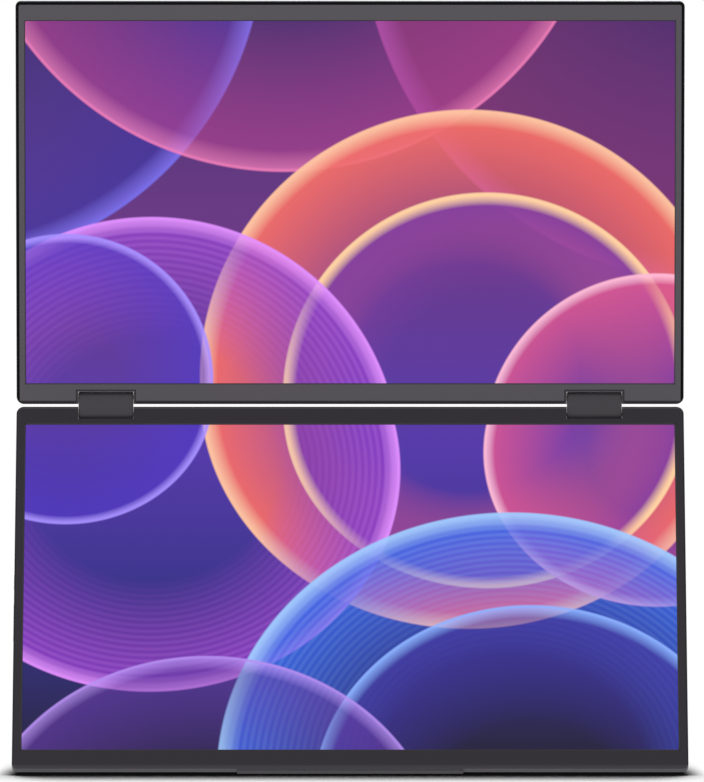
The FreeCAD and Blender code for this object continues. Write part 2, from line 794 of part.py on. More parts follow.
def driver_board(half, frame, side):
    """The board taped behind the tray that drives the panel, with chips and a ribbon plug."""
    board = box(half + "_driver_sheet", ("-driver_length / 2", "driver_length / 2"),
                ("driver_start", "driver_start + driver_width"), ("driver_back", "tray_back"))
    middle = "driver_start + driver_width / 2"
    chips = [
        box(
            f"{half}_driver_chip_{index}",
            (f"{index} * 2 * chip_size - chip_size / 2", f"{index} * 2 * chip_size + chip_size / 2"),
            (f"{middle} - chip_size / 2", f"{middle} + chip_size / 2"), ("driver_plug", "driver_back"),
        )
        for index in (-1, 0, 1)
    ]
    plug = box(
        half + "_driver_plug",
        across(side, "driver_length / 2 - plug_length", "driver_length / 2"),
        (f"{middle} - plug_width / 2", f"{middle} + plug_width / 2"), ("driver_plug", "driver_back"),
    )
    keep(fuse(half + "_driver", board, plug, *chips), half + "_driver_board", frame)


# Hinge pieces that belong to one half


def hinge_brackets(half, frame):
    """Two steel brackets: a flat on its bosses and an eye round the axle."""
    brackets = []
    for side in SIDES:
        flat = box(
            f"{half}_bracket_flat_{side}", across(side, "bracket_inner", "bracket_outer"),
            ("bracket_start", "bracket_reach"), ("bracket_back", "bracket_front"),
        )
        eye_span = across(side, "eye_inner", "bracket_outer")
        web = box(
            f"{half}_bracket_web_{side}", eye_span, ("0", "bracket_start + bracket_thickness"),
            ("bracket_back", "0"),
        )
        eye = rod(f"{half}_bracket_eye_{side}", "eye_radius", *eye_span)
        blank = fuse(f"{half}_bracket_blank_{side}", flat, web, eye)
        holes = [
            post(f"{half}_bracket_hole_{side}_{index}", "screw_radius + screw_gap",
                 x if side > 0 else f"-({x})", y, "bracket_back", "bracket_front")
            for index, (x, y) in enumerate(BRACKET_SCREWS)
        ]
        bore = rod(f"{half}_bracket_bore_{side}", "axle_radius + fit_gap", *eye_span)
        brackets.append(cut(f"{half}_bracket_{side}", blank, bore, *holes))
    keep(group(half + "_brackets", *brackets), half + "_hinge_brackets", frame)


def hinge_axles(half, frame):
    """Two steel axles, each from its bracket into its hinge block."""
    axles = [
        rod(f"{half}_axle_{side}", "axle_radius", *across(side, "axle_inner", "axle_outer"))
        for side in SIDES
    ]
    keep(group(half + "_axles", *axles), half + "_hinge_axles", frame)


def screw(name, x, y, seat, bite):
    """One small screw: a head on its seat and a shank below it."""
    return fuse(
        name,
        post(name + "_head", "screw_head_radius", x, y, seat, f"{seat} + screw_head_height"),
        post(name + "_shank", "screw_radius", x, y, f"{seat} - ({bite})", seat),
    )


def hinge_screws(half, frame):
    """The screws that hold the two brackets to the rear shell."""
    screws = [
        screw(f"{half}_screw_{index}", x, y, "bracket_front", "bracket_thickness + screw_bite")
        for index, (x, y) in enumerate(bracket_places())
    ]
    keep(group(half + "_screws", *screws), half + "_hinge_screws", frame)


def hexagon(name, radius, bore, start, end):
    """A hexagon nut along X with a round bore."""
    corners = [
        FreeCAD.Vector(
            number(start),
            number(radius) * math.cos(2 * math.pi * corner / NUT_SIDES),
            number(radius) * math.sin(2 * math.pi * corner / NUT_SIDES),
        )
        for corner in range(NUT_SIDES)
    ]
    length = number(end) - number(start)
    face = Part.Face(Part.makePolygon(corners + corners[:1]))
    hole = Part.makeCylinder(
        number(bore), length, FreeCAD.Vector(number(start), 0, 0), FreeCAD.Vector(1, 0, 0)
    )
    nut = doc.addObject("Part::Feature", name)
    nut.Shape = face.extrude(FreeCAD.Vector(length, 0, 0)).cut(hole)
    return nut


def hinge_nuts(half, frame):
    """The nuts that load the spring washers, one on each axle."""
    nuts = [
        hexagon(f"{half}_nut_{side}", "nut_radius", "axle_radius + fit_gap",
                *across(side, "nut_start", "axle_outer"))
        for side in SIDES
    ]
    keep(group(half + "_nuts", *nuts), half + "_hinge_nuts", frame)


def gear(name, bore, side, place, half_step):
    """A small gear along X. Its teeth are straight-sided and thin, so that the train has play.

    The outline goes root, tip, tip, root for each tooth; half_step turns it by half a tooth.
    """
    root = number("gear_root")
    tip = number("gear_tip")
    pitch = number("gear_spacing") / 2
    at_pitch = number("tooth_pitch_width")
    at_tip = number("tooth_tip_width")
    at_root = at_pitch + (at_pitch - at_tip) * (pitch - root) / (tip - pitch)
    tooth = 2 * math.pi / GEAR_TEETH
    start, end = (
        number(text) for text in across(side, "gear_start", "gear_start + gear_width")
    )
    outline = []
    for index in range(GEAR_TEETH):
        middle = tooth * (index + half_step / 2)
        for radius, sideways in ((root, -at_root), (tip, -at_tip), (tip, at_tip), (root, at_root)):
            angle = middle + sideways / 2 / radius
            outline.append(
                FreeCAD.Vector(
                    start,
                    number(place) + radius * math.cos(angle),
                    radius * math.sin(angle),
                )
            )
    face = Part.Face(Part.makePolygon(outline + outline[:1]))
    hole = Part.makeCylinder(
        number(bore), end - start, FreeCAD.Vector(start, number(place), 0),
        FreeCAD.Vector(1, 0, 0),
    )
    wheel = doc.addObject("Part::Feature", name)
    wheel.Shape = face.extrude(FreeCAD.Vector(end - start, 0, 0)).cut(hole)
    return wheel


def gear_pair(label, bore, position):
    """The same gear of the train in the left and right block."""
    wheels = [
        gear(f"{label}_{side}", bore, side, f"{position} * gear_spacing", position % 2)
        for side in SIDES
    ]
    keep(group(label + "_pair", *wheels), label, BLOCKS)


def notch_trims():
    """The U-shaped trims that line the hinge notches of the upper half."""
    trims = []
    inner = "(block_width / 2 + block_gap)"
    floor = "(block_radius + trim_floor_gap)"
    for side in SIDES:
        middle = "hinge_centre" if side > 0 else "-hinge_centre"
        envelope = box(
            f"trim_envelope_{side}",
            (f"{middle} - notch_side", f"{middle} + notch_side"),
            ("-hinge_edge", "notch_depth"), ("-half_depth", "half_depth"),
        )
        doc.recompute()
        rounded = doc.addObject("Part::Fillet", f"trim_rounded_{side}")
        rounded.Base = envelope
        near = number("-hinge_edge")
        rounded.Edges = [
            (index, number("rim_radius"), number("rim_radius"))
            for index, edge in enumerate(envelope.Shape.Edges, 1)
            if edge.BoundBox.XLength > TOLERANCE
            and abs(edge.BoundBox.YMax - near) < TOLERANCE
        ]
        opening = box(
            f"trim_opening_{side}", (f"{middle} - {inner}", f"{middle} + {inner}"),
            ("-2 * hinge_edge", floor), ("-2 * half_depth", "2 * half_depth"),
        )
        groove_level = ("half_depth - trim_step", "2 * half_depth")
        grooves = [
            box(
                f"trim_groove_{side}_{edge}",
                (f"{middle} + {edge} * ({inner} + trim_wall)", f"{middle} + {edge} * 2 * {inner}")
                if edge > 0
                else (f"{middle} - 2 * {inner}", f"{middle} - ({inner} + trim_wall)"),
                ("-2 * hinge_edge", "2 * notch_depth"), groove_level,
            )
            for edge in SIDES
        ]
        far_groove = box(
            f"trim_groove_far_{side}", (f"{middle} - 2 * {inner}", f"{middle} + 2 * {inner}"),
            (f"{floor} + trim_wall", "2 * notch_depth"), groove_level,
        )
        passage = rod(
            f"trim_passage_{side}", "axle_radius + seat_gap",
            f"{middle} - notch_side", f"{middle} + notch_side",
        )
        trims.append(cut(f"trim_{side}", rounded, opening, far_groove, passage, *grooves))
    keep(group("trims", *trims), "upper_notch_trims", UPPER)


# Hinge blocks


def block_bar(name, radius, start, end):
    """A bar along X round both axles, with half-round ends."""
    return fuse(
        name,
        rod(name + "_lower", radius, start, end),
        rod(name + "_upper", radius, start, end, "axle_spacing"),
        box(name + "_middle", (start, end), ("0", "axle_spacing"), (f"-({radius})", radius)),
    )


def rounded_block_bar(name, start, end, rounded):
    """A block bar with the edges of one end rounded."""
    bar = block_bar(name + "_bar", "block_radius", start, end)
    doc.recompute()
    result = doc.addObject("Part::Fillet", name)
    result.Base = bar
    plane = number(rounded)
    result.Edges = [
        (index, number("block_edge"), number("block_edge"))
        for index, edge in enumerate(bar.Shape.Edges, 1)
        if max(abs(edge.BoundBox.XMin - plane), abs(edge.BoundBox.XMax - plane)) < TOLERANCE
    ]
    return result


def hinge_cover(label, side):
    """One hinge cover: a shell open towards the middle, closed at its outer end."""
    span = across(side, "block_inner + block_end", "block_outer")
    outer_end = span[1] if side > 0 else span[0]
    shell = rounded_block_bar(label + "_outer", *span, outer_end)
    cavity = block_bar(
        label + "_cavity", "block_radius - block_wall",
        *across(side, "block_inner", "block_outer - block_end"),
    )
    tools = [cavity]
    if side > 0:
        tools += [
            rod(f"{label}_cable_{place}", "cable_radius + cable_gap",
                "block_outer - 2 * block_end", "block_outer + block_end", place)
            for place in ("0", "axle_spacing")
        ]
    keep(cut(label + "_shell", shell, *tools), label, BLOCKS)


def hinge_end_caps():
    """The end plates that close the covers round the axles."""
    caps = []
    for side in SIDES:
        span = across(side, "block_inner", "block_inner + block_end")
        inner_end = span[0] if side > 0 else span[1]
        plate = rounded_block_bar(f"cap_plate_{side}", *span, inner_end)
        bores = [
            rod(f"cap_bore_{side}_{index}", "axle_radius + seat_gap", *span, place)
            for index, place in enumerate(("0", "axle_spacing"))
        ]
        caps.append(cut(f"cap_{side}", plate, *bores))
    keep(group("caps", *caps), "hinge_end_caps", BLOCKS)


def hinge_links():
    """Steel links that hold the two axles and the idler pins at their spacing."""
    links = []
    for side in SIDES:
        for index, start in enumerate(("block_inner + block_end + play", "second_link")):
            span = across(side, start, f"{start} + link_thickness")
            plate = block_bar(f"link_plate_{side}_{index}", "barrel_radius", *span)
            bores = [
                rod(f"link_bore_{side}_{index}_{place}", "axle_radius + running_gap",
                    *span, f"{place} * axle_spacing")
                for place in (0, 1)
            ]
            pin_holes = [
                rod(f"link_pin_hole_{side}_{index}_{place}", "pin_radius + fit_gap",
                    *span, f"{place} * gear_spacing")
                for place in (1, 2)
            ]
            links.append(cut(f"link_{side}_{index}", plate, *bores, *pin_holes))
    keep(group("links", *links), "hinge_links", BLOCKS)


def idler_pins():
    """The pins between the links that carry the idler gears."""
    pins = [
        rod(f"idler_pin_{side}_{place}", "pin_radius",
            *across(side, "block_inner + block_end + play", "second_link + link_thickness"),
            f"{place} * gear_spacing")
        for side in SIDES
        for place in (1, 2)
    ]
    keep(group("pins", *pins), "idler_pins", BLOCKS)


def ring(name, outer, bore, start, end, place):
    """A plain ring along X on one of the two axles."""
    return cut(
        name,
        rod(name + "_outer", outer, start, end, place),
        rod(name + "_bore", bore, start, end, place),
    )


def friction_barrels():
    """The sleeves that grip the axles."""
    barrels = [
        ring(f"barrel_{side}_{index}", "barrel_radius", "axle_radius + running_gap",
             *across(side, "barrel_start", "barrel_start + barrel_length"), place)
        for side in SIDES
        for index, place in enumerate(("0", "axle_spacing"))
    ]
    keep(group("barrels", *barrels), "friction_barrels", BLOCKS)


def spring_washers():
    """The stacks of spring washers between barrel and nut."""
    washers = []
    for side in SIDES:
        for index, place in enumerate(("0", "axle_spacing")):
            for layer in range(WASHERS):
                start = f"washer_start + {layer} * washer_thickness"
                washers.append(
                    ring(f"washer_{side}_{index}_{layer}", "washer_radius",
                         "axle_radius + running_gap",
                         *across(side, start, f"{start} + washer_thickness"), place)
                )
    keep(group("washers", *washers), "spring_washers", BLOCKS)


# Signal cable, in one length per body


def cable_stub(name, side, place="0"):
    """The round cable where it crosses from the block into a half."""
    return rod(
        name, "cable_radius",
        *across(side, "block_outer + play / 2", "block_outer + ribbon_width"), place,
    )


def upper_signal_cable():
    """From the block across to the plug on the upper driver board."""
    start = "block_outer + ribbon_width - play"
    end = f"{start} + ribbon_width"
    level = ("driver_plug - ribbon_thickness", "driver_plug")
    middle = "driver_start + driver_width / 2"
    down = box("upper_ribbon_down", (start, end),
               ("-cable_radius", f"{middle} + ribbon_width / 2"), level)
    along = box("upper_ribbon_along", ("driver_length / 2 - plug_length", end),
                (f"{middle} - ribbon_width / 2", f"{middle} + ribbon_width / 2"), level)
    keep(fuse("upper_cable", cable_stub("upper_cable_stub", 1), down, along),
         "upper_signal_cable", UPPER)


def block_signal_cable():
    """The folded length inside the right block, from one axle to the other."""
    inside = "block_outer - block_end - play"
    fold = box("block_cable_fold", (f"{inside} - cable_turn", inside),
               ("-cable_radius", "axle_spacing + cable_radius"), ("-cable_radius", "cable_radius"))
    ends = [
        rod(f"block_cable_end_{index}", "cable_radius", f"{inside} - cable_turn / 2",
            "block_outer", place)
        for index, place in enumerate(("0", "axle_spacing"))
    ]
    keep(fuse("block_cable", fold, *ends), "block_signal_cable", BLOCKS)


def lower_signal_cable():
    """From the block to the top of the main board."""
    start = "block_outer + ribbon_width - play"
    ribbon = box("lower_ribbon", across(-1, start, f"{start} + ribbon_width"),
                 ("-cable_radius", "board_near + board_hole_inset"),
                 ("board_front", "board_front + ribbon_thickness"))
    keep(fuse("lower_cable", cable_stub("lower_cable_stub", -1), ribbon),
         "lower_signal_cable", LOWER)


def lower_panel_cable():
    """The flat cable from the main board to the lower driver board."""
    middle = "driver_start + driver_width / 2"
    rows = (f"{middle} - ribbon_width / 2", f"{middle} + ribbon_width / 2")
    level = ("driver_plug - ribbon_thickness", "driver_plug")
    outer = "board_inner + 3 * ribbon_width"
    along = box("panel_cable_along", across(-1, "driver_length / 2 - plug_length", outer),
                rows, level)
    down = box("panel_cable_down", across(-1, f"{outer} - ribbon_width", outer),
               (rows[0], "board_near + board_hole_inset"), level)
    keep(fuse("panel_cable", along, down), "lower_panel_cable", LOWER)


# Boards, sockets and keys of the lower half


def main_board():
    """The main board with cut-outs for the sockets, chips and screw holes."""
    sheet_board = box("main_sheet", ("-board_outer", "-board_inner"),
                      ("board_near", "board_far"), ("board_back", "board_front"))
    cut_outs = [
        box(
            f"main_cut_out_{name}",
            ("-half_width", "socket_depth + 2 * seat_gap - half_width"),
            (f"{place} - {width} / 2 - seat_gap", f"{place} + {width} / 2 + seat_gap"),
            ("board_back - board_sheet", "board_front + board_sheet"),
        )
        for name, place, width in PORTS
    ]
    holes = [
        post(f"main_hole_{index}", "screw_radius + screw_gap", x, y, "board_back", "board_front")
        for index, (x, y) in enumerate(BOARD_SCREWS)
    ]
    chips = [
        box(
            f"main_chip_{index}",
            ("-(board_inner + board_outer) / 2 - chip_size", "-(board_inner + board_outer) / 2"),
            (f"{middle} - chip_size / 2", f"{middle} + chip_size / 2"),
            ("board_front", "board_front + chip_height"),
        )
        for index, middle in enumerate(("data_port_far", "video_port_place + chip_size"))
    ]
    drilled = cut("main_drilled", sheet_board, *cut_outs, *holes)
    keep(fuse("main_with_chips", drilled, *chips), "main_board", LOWER)


def board_screws():
    """The screws of the main board."""
    screws = [
        screw(f"board_screw_{index}", x, y, "board_front", "board_sheet + screw_bite")
        for index, (x, y) in enumerate(BOARD_SCREWS)
    ]
    keep(group("main_screws", *screws), "board_screws", LOWER)


def socket(name, place, width):
    """A metal socket with its contact tongue, mouth at the casing side."""
    mouth = "socket_inset - half_width"
    back = "socket_depth - half_width"
    shell = slot_bar(name + "_shell", "socket_height / 2", width, mouth, back, place,
                     "socket_level")
    space = slot_bar(
        name + "_space", "socket_height / 2 - socket_wall", f"{width} - 2 * socket_wall",
        f"{mouth} - wall", f"{back} - wall", place, "socket_level",
    )
    tongue = box(
        name + "_tongue", (f"{back} - wall - tongue_depth", back),
        (f"{place} - {width} / 2 + tongue_margin", f"{place} + {width} / 2 - tongue_margin"),
        ("socket_level - tongue_thickness / 2", "socket_level + tongue_thickness / 2"),
    )
    return fuse(name + "_socket", cut(name + "_tube", shell, space), tongue)


def sockets():
    """Two oval data sockets and one small video socket."""
    data = [socket(*port) for port in PORTS if port[2] == "data_port_width"]
    keep(group("data_pair", *data), "data_ports", LOWER)
    video = [socket(*port) for port in PORTS if port[2] == "video_port_width"]
    keep(group("video_one", *video), "video_port", LOWER)


def power_button():
    """The power key: a cap through the side wall, a flange behind it and a stem."""
    face = "half_width + key_proud"
    flange_front = "inner_side - key_gap"
    cap = slot_bar("power_cap", "key_height / 2", "power_length",
                   f"{flange_front} - key_flange / 2", face, "power_place", "socket_level")
    flange = slot_bar(
        "power_flange", "key_height / 2 + key_flange", "power_length + 2 * key_flange",
        f"{flange_front} - key_flange", flange_front, "power_place", "socket_level",
    )
    stem = rod("power_stem", "stem_radius", "key_stem_end", flange_front,
               "power_place", "socket_level")
    keep(fuse("power_key", cap, flange, stem), "power_button", LOWER)


def menu_rocker():
    """The menu rocker: a long cap that tips about a small pivot post behind it."""
    cap = slot_bar("rocker_cap", "key_height / 2", "rocker_length",
                   "key_back - key_gap", "half_width + key_proud", "rocker_place",
                   "socket_level")
    pivot = post("rocker_post", "pivot_radius", "key_back", "rocker_place",
                 "cover_floor + running_gap", "socket_level")
    stems = [
        rod(f"rocker_stem_{side}", "stem_radius", "key_stem_end", "key_back",
            f"rocker_place + {side} * rocker_stem_place", "socket_level")
        for side in SIDES
    ]
    keep(fuse("rocker_key", cap, pivot, *stems), "menu_rocker", LOWER)


def key_board():
    """The small board behind the keys, with a plug for its ribbon."""
    board = box("key_sheet", ("key_board_inner", "switch_face"),
                ("key_board_near", "key_board_far"), ("cover_floor", "key_board_front"))
    keep(group("key_board_one", board), "key_board", LOWER)


def key_switches():
    """The switches that the key stems press."""
    places = ("power_place", "rocker_place - rocker_stem_place",
              "rocker_place + rocker_stem_place")
    switches = [
        box(
            f"switch_{index}", ("switch_face - switch_size", "switch_face"),
            (f"{place} - switch_size / 2", f"{place} + switch_size / 2"),
            ("key_board_front", "key_board_front + switch_height"),
        )
        for index, place in enumerate(places)
    ]
    keep(group("switches", *switches), "key_switches", LOWER)


def speakers():
    """Two flat speakers over their sound slots."""
    pair = [
        box(f"speaker_{side}", across(side, "speaker_inner", "speaker_outer"),
            ("speaker_near", "speaker_far"), ("cover_floor", "cover_floor + speaker_height"))
        for side in SIDES
    ]
    keep(group("speaker_pair", *pair), "speakers", LOWER)


def foot_strip():
    """The rubber strip under the front edge, cut flat where it meets the floor."""
    strip = box("foot_blank", ("-foot_length / 2", "foot_length / 2"),
                ("case_far - foot_seat", "foot_bottom"), ("foot_rear", "foot_front"))
    keep(cut("foot_cut", strip, under_floor("floor_at_foot", LOWER)), "foot_strip", LOWER)


def stand_pins():
    """The pins of the stand."""
    pins = [
        rod(f"stand_pin_{side}", "stand_pin_radius", *stand_pin_span(side),
            "stand_axle", "stand_axle_depth")
        for side in SIDES
    ]
    keep(group("stand_pin_pair", *pins), "stand_pins", LOWER)


# Stand, drawn with its axle on the X axis and its foot along +Y


def stand_plate():
    """The stand: a flat plate with a round barrel at its axle and slots for the two lugs."""
    body = doc.addObject("PartDesign::Body", "stand_body")
    half = "stand_thickness / 2"
    width = ("-stand_side", "stand_side")
    pad(body, "stand_sheet", f"-{half}", half, (width, ("0", "stand_length - stand_foot_depth")))
    round_edges(
        body, "stand_corners", "stand_corner", upright_at("stand_length - stand_foot_depth")
    )
    barrel = rod("stand_barrel", half, *width)
    blank = fuse("stand_blank", body, barrel)
    tools = []
    for side in SIDES:
        tools.append(
            box(
                f"stand_slot_{side}",
                across(side, "lug_middle - lug_width / 2 - lug_gap",
                       "lug_middle + lug_width / 2 + lug_gap"),
                ("-stand_thickness", "lug_slot"), ("-stand_thickness", "stand_thickness"),
            )
        )
        tools.append(
            rod(f"stand_bore_{side}", "stand_pin_radius + running_gap",
                *across(side, "lug_middle - stand_pin_length / 2 - lug_gap",
                        "lug_middle + stand_pin_length / 2 + lug_gap"))
        )
    keep(cut("stand", blank, *tools), "stand_plate", STAND)


def stand_foot():
    """The rubber end of the stand, round underneath with a flat on the floor."""
    span = ("stand_corner - stand_side", "stand_side - stand_corner")
    half = "stand_thickness / 2"
    strip = fuse(
        "stand_foot_blank",
        box("stand_foot_block", span, ("stand_length - stand_foot_depth", "stand_length"),
            (f"-{half}", half)),
        rod("stand_foot_round", half, *span, "stand_length"),
    )
    keep(cut("stand_foot_cut", strip, under_floor("floor_at_stand", STAND)), "stand_foot", STAND)


def build_half(half, frame, plug_side):
    """The pieces that both halves share."""
    front_bezel(half, frame)
    lcd_panel(half, frame)
    light_guide(half, frame)
    led_bar(half, frame)
    backlight_tray(half, frame)
    driver_board(half, frame, plug_side)
    hinge_brackets(half, frame)
    hinge_axles(half, frame)
    hinge_screws(half, frame)
    hinge_nuts(half, frame)


build_half("lower", LOWER, -1)
build_half("upper", UPPER, 1)
lower_rear_cover()
upper_rear_cover()
notch_trims()
hinge_cover("left_hinge_cover", -1)
hinge_cover("right_hinge_cover", 1)
hinge_end_caps()
hinge_links()
idler_pins()
friction_barrels()
spring_washers()
gear_pair("lower_hinge_gears", "axle_radius + fit_gap", 0)
gear_pair("first_idler_gears", "pin_radius + running_gap", 1)
gear_pair("second_idler_gears", "pin_radius + running_gap", 2)
gear_pair("upper_hinge_gears", "axle_radius + fit_gap", 3)
upper_signal_cable()
block_signal_cable()
lower_signal_cable()
lower_panel_cable()
main_board()
board_screws()
sockets()
power_button()
menu_rocker()
key_board()
key_switches()
speakers()
foot_strip()
stand_pins()
stand_plate()
stand_foot()

doc.recompute()
failed = [item.Name for item in doc.Objects if {"Invalid", "Error"} & set(item.State)]
if failed:
    raise RuntimeError(f"not recomputed: {failed}")
for piece in pieces:
    if piece.Shape.isNull() or not piece.Shape.isValid() or not piece.Shape.Solids:
        raise RuntimeError(f"{piece.Label} has no valid solid")

os.makedirs(STEP_DIRECTORY, exist_ok=True)
for piece in pieces:
    piece.Shape.exportStep(os.path.join(STEP_DIRECTORY, piece.Label + ".step"))
    print(f"{piece.Label}: {len(piece.Shape.Solids)} solid(s), {piece.Shape.Volume:.1f} mm3")
print(f"lower axle at y {axle_back:.4f}, z {axle_height:.4f}")
print(f"upper axle at y {upper_axle.y:.4f}, z {upper_axle.z:.4f}")
print(f"stand axle at y {stand_axle.y:.4f}, z {stand_axle.z:.4f}, open {stand_opening:.4f}")
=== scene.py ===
# %% [markdown]
# # A folding pair of screens
#
# The object is two wide, flat screens, one above the other, joined by two small hinge blocks.
# The lower screen leans back on a stand and the upper one stands upright. Its metal and plastic
# parts come finished from the CAD model, so this lesson gives each of them a real finish, and
# adds the thin things that a CAD model leaves out: the lit pictures and the seals round them.

# %% Load the fixed frame
import json
import math

import bpy
import numpy as np
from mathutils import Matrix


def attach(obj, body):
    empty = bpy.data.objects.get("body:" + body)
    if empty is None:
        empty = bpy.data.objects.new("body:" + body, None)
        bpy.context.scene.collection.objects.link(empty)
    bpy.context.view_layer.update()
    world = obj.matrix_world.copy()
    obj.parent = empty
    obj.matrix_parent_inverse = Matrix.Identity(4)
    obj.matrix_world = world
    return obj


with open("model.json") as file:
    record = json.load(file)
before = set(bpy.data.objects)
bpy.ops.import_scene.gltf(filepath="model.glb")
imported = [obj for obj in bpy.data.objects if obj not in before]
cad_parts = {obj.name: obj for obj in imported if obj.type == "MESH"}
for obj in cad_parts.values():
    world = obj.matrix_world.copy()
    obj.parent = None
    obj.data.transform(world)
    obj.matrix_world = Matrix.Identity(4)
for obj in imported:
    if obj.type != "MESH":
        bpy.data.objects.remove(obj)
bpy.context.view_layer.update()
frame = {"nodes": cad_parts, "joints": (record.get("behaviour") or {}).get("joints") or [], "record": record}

# %% [markdown]
# ## Where things are
#
# Each screen is easiest to describe in its own flat coordinates: how far across, how far along
# from its hinge axle, and how far out of its middle plane. The two hinge axles come from the
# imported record, so the pictures land exactly in their windows. Lengths below are millimetres.

# %% The flat coordinates of the two halves
MM = 0.001
QUARTER_TURN = math.radians(90)
LEAN = math.radians(35)
HALF_WIDTH = 176.6
NEAR_EDGE = -3.2
FAR_EDGE = 210.75
FREE_CORNER = 2.8
WINDOW_HALF_WIDTH = 172.1
WINDOW_NEAR = 7.45
WINDOW_FAR = 201.05
GLASS_FRONT = 3.2

axles = {
    half: next(joint["pos_m"] for joint in frame["joints"] if joint["name"] == half + "_hinge")
    for half in ("upper", "lower")
}


def in_place(half, points):
    """Puts points given as (across, along, out) in mm into the scene, in metres.

    The upper half stands upright: along is up and out is towards the viewer. The lower half
    hangs from its axle and leans, so along and out turn with the lean.
    """
    across, along, out = np.moveaxis(np.asarray(points, float) * MM, -1, 0)
    lean = LEAN if half == "lower" else 0.0
    down = -1.0 if half == "lower" else 1.0
    y = axles[half][1] - along * math.sin(lean) - out * math.cos(lean)
    z = axles[half][2] + down * along * math.cos(lean) + out * math.sin(lean)
    return np.stack([across, y, z], axis=-1)


print("upper axle", axles["upper"], "lower axle", axles["lower"])

# %% [markdown]
# ## Surfaces from numbers
#
# Every new piece is a stack of rings. A ring is a closed outline with the same number of points
# each time, and a surface joins each ring to the next. The last ring either meets the first, as
# in a seal that runs round a window, or both ends are closed to a middle point, as in a sheet.

# %% A surface through rings
def ring_surface(name, rings, joined, picture=None):
    """Makes a closed mesh from an array of rings, (ring, point, 3), in metres.

    Face k of ring r uses points k and k + 1 of rings r and r + 1, all counted round. Where the
    ends aren't joined, each end ring is closed by triangles to its mean point. The faces are
    turned round if the volume inside, a sum of triple products, comes out negative.
    """
    count, around = rings.shape[:2]
    spans = np.arange(count if joined else count - 1)
    ring, point = np.meshgrid(spans, np.arange(around), indexing="ij")
    here, there = ring * around, (ring + 1) % count * around
    following = (point + 1) % around
    quads = np.stack([here + point, here + following, there + following, there + point], -1)
    quads = quads.reshape(-1, 4)
    points = rings.reshape(-1, 3)
    triangles = np.zeros((0, 3), int)
    if not joined:
        side = np.arange(around)
        first, last = len(points), len(points) + 1
        end = (count - 1) * around
        points = np.vstack([points, rings[0].mean(0), rings[-1].mean(0)])
        triangles = np.vstack([
            np.stack([np.full(around, first), (side + 1) % around, side], -1),
            np.stack([np.full(around, last), end + side, end + (side + 1) % around], -1),
        ])
    halves = np.vstack([quads[:, [0, 1, 2]], quads[:, [0, 2, 3]], triangles])
    a, b, c = (points[halves[:, k]] - points.mean(0) for k in range(3))
    if np.einsum("ij,ij->i", a, np.cross(b, c)).sum() < 0:
        quads, triangles = quads[:, ::-1], triangles[:, ::-1]
    mesh = bpy.data.meshes.new(name)
    mesh.from_pydata(points.tolist(), [], quads.tolist() + triangles.tolist())
    if picture is not None:
        corners = np.zeros(len(mesh.loops), int)
        mesh.loops.foreach_get("vertex_index", corners)
        flat = np.vstack([picture.reshape(-1, 2), picture[0].mean(0), picture[-1].mean(0)])
        mesh.uv_layers.new(name="picture").data.foreach_set("uv", flat[corners].ravel())
    piece = bpy.data.objects.new(name, mesh)
    bpy.context.scene.collection.objects.link(piece)
    print(f"{name}: {len(points)} points, {len(mesh.polygons)} faces")
    return piece


# %% A rounded outline
CORNER_STEPS = 7


def rounded_outline(half_width, low, high, radius):
    """A rectangle with round corners: (points, outward directions), counted anticlockwise.

    A corner point is the corner's centre plus the radius times (cos, sin) of an angle that
    runs through a quarter turn, and the same (cos, sin) is the outward direction there.
    """
    turn = np.linspace(0, QUARTER_TURN, CORNER_STEPS)
    angle = np.concatenate([turn + QUARTER_TURN * quarter for quarter in range(4)])
    outward = np.stack([np.cos(angle), np.sin(angle)], -1)
    signs = np.repeat(np.array([(1, 1), (-1, 1), (-1, -1), (1, -1)]), CORNER_STEPS, axis=0)
    middle, half_height = (low + high) / 2, (high - low) / 2
    centre = signs * (half_width - radius, half_height - radius) + (0.0, middle)
    return centre + radius * outward, outward


print("points in an outline:", 4 * CORNER_STEPS)

# %% [markdown]
# ## Tools for finishes
#
# A finish is a small tree of nodes. Colours are written as they are picked on a display, so one
# function turns them into the linear values that a renderer works with, and one function adds
# any node with its settings and its links.

# %% Colours and nodes
def linear(colour):
    """An sRGB hex colour as linear red, green, blue and a full alpha."""
    parts = [int(colour[start:start + 2], 16) / 255 for start in (1, 3, 5)]
    straight = [p / 12.92 if p <= 0.04045 else ((p + 0.055) / 1.055) ** 2.4 for p in parts]
    return (*straight, 1.0)


def add_node(tree, kind, settings=None, **inputs):
    """Adds a node, sets its options, and fills or links each input, named or numbered as _0."""
    node = tree.nodes.new(kind)
    for option, value in (settings or {}).items():
        setattr(node, option, value)
    for socket, value in inputs.items():
        key = int(socket[1:]) if socket.startswith("_") else socket.replace("_", " ")
        if isinstance(value, bpy.types.NodeSocket):
            tree.links.new(value, node.inputs[key])
        else:
            node.inputs[key].default_value = value
    return node


print("the display grey #808080 is", round(linear("#808080")[0], 3), "of full light")

# %% [markdown]
# ## One start for every finish
#
# Each finish begins with the same shader, whose even values are set straight on its sockets,
# where an exported model keeps them. Nearly all share a fine grain too: one noise lifts the
# surface by some hundredths of a millimetre and lets the roughness wander. Real grain could be
# modelled, for millions of faces, and this noise gives the eye the same broken shine.

# %% The shader and its grain
GRAIN_DETAIL = 3.0
GRAIN_STRENGTH = 0.6


def new_finish(name, **inputs):
    """A material with one main shader, whose even values sit on the shader's own sockets."""
    material = bpy.data.materials.new(name)
    material.use_nodes = True
    tree = material.node_tree
    tree.nodes.clear()
    shader = add_node(tree, "ShaderNodeBsdfPrincipled", **inputs)
    add_node(tree, "ShaderNodeOutputMaterial", Surface=shader.outputs["BSDF"])
    place = add_node(tree, "ShaderNodeTexCoord").outputs["Object"]
    return material, tree, shader, place


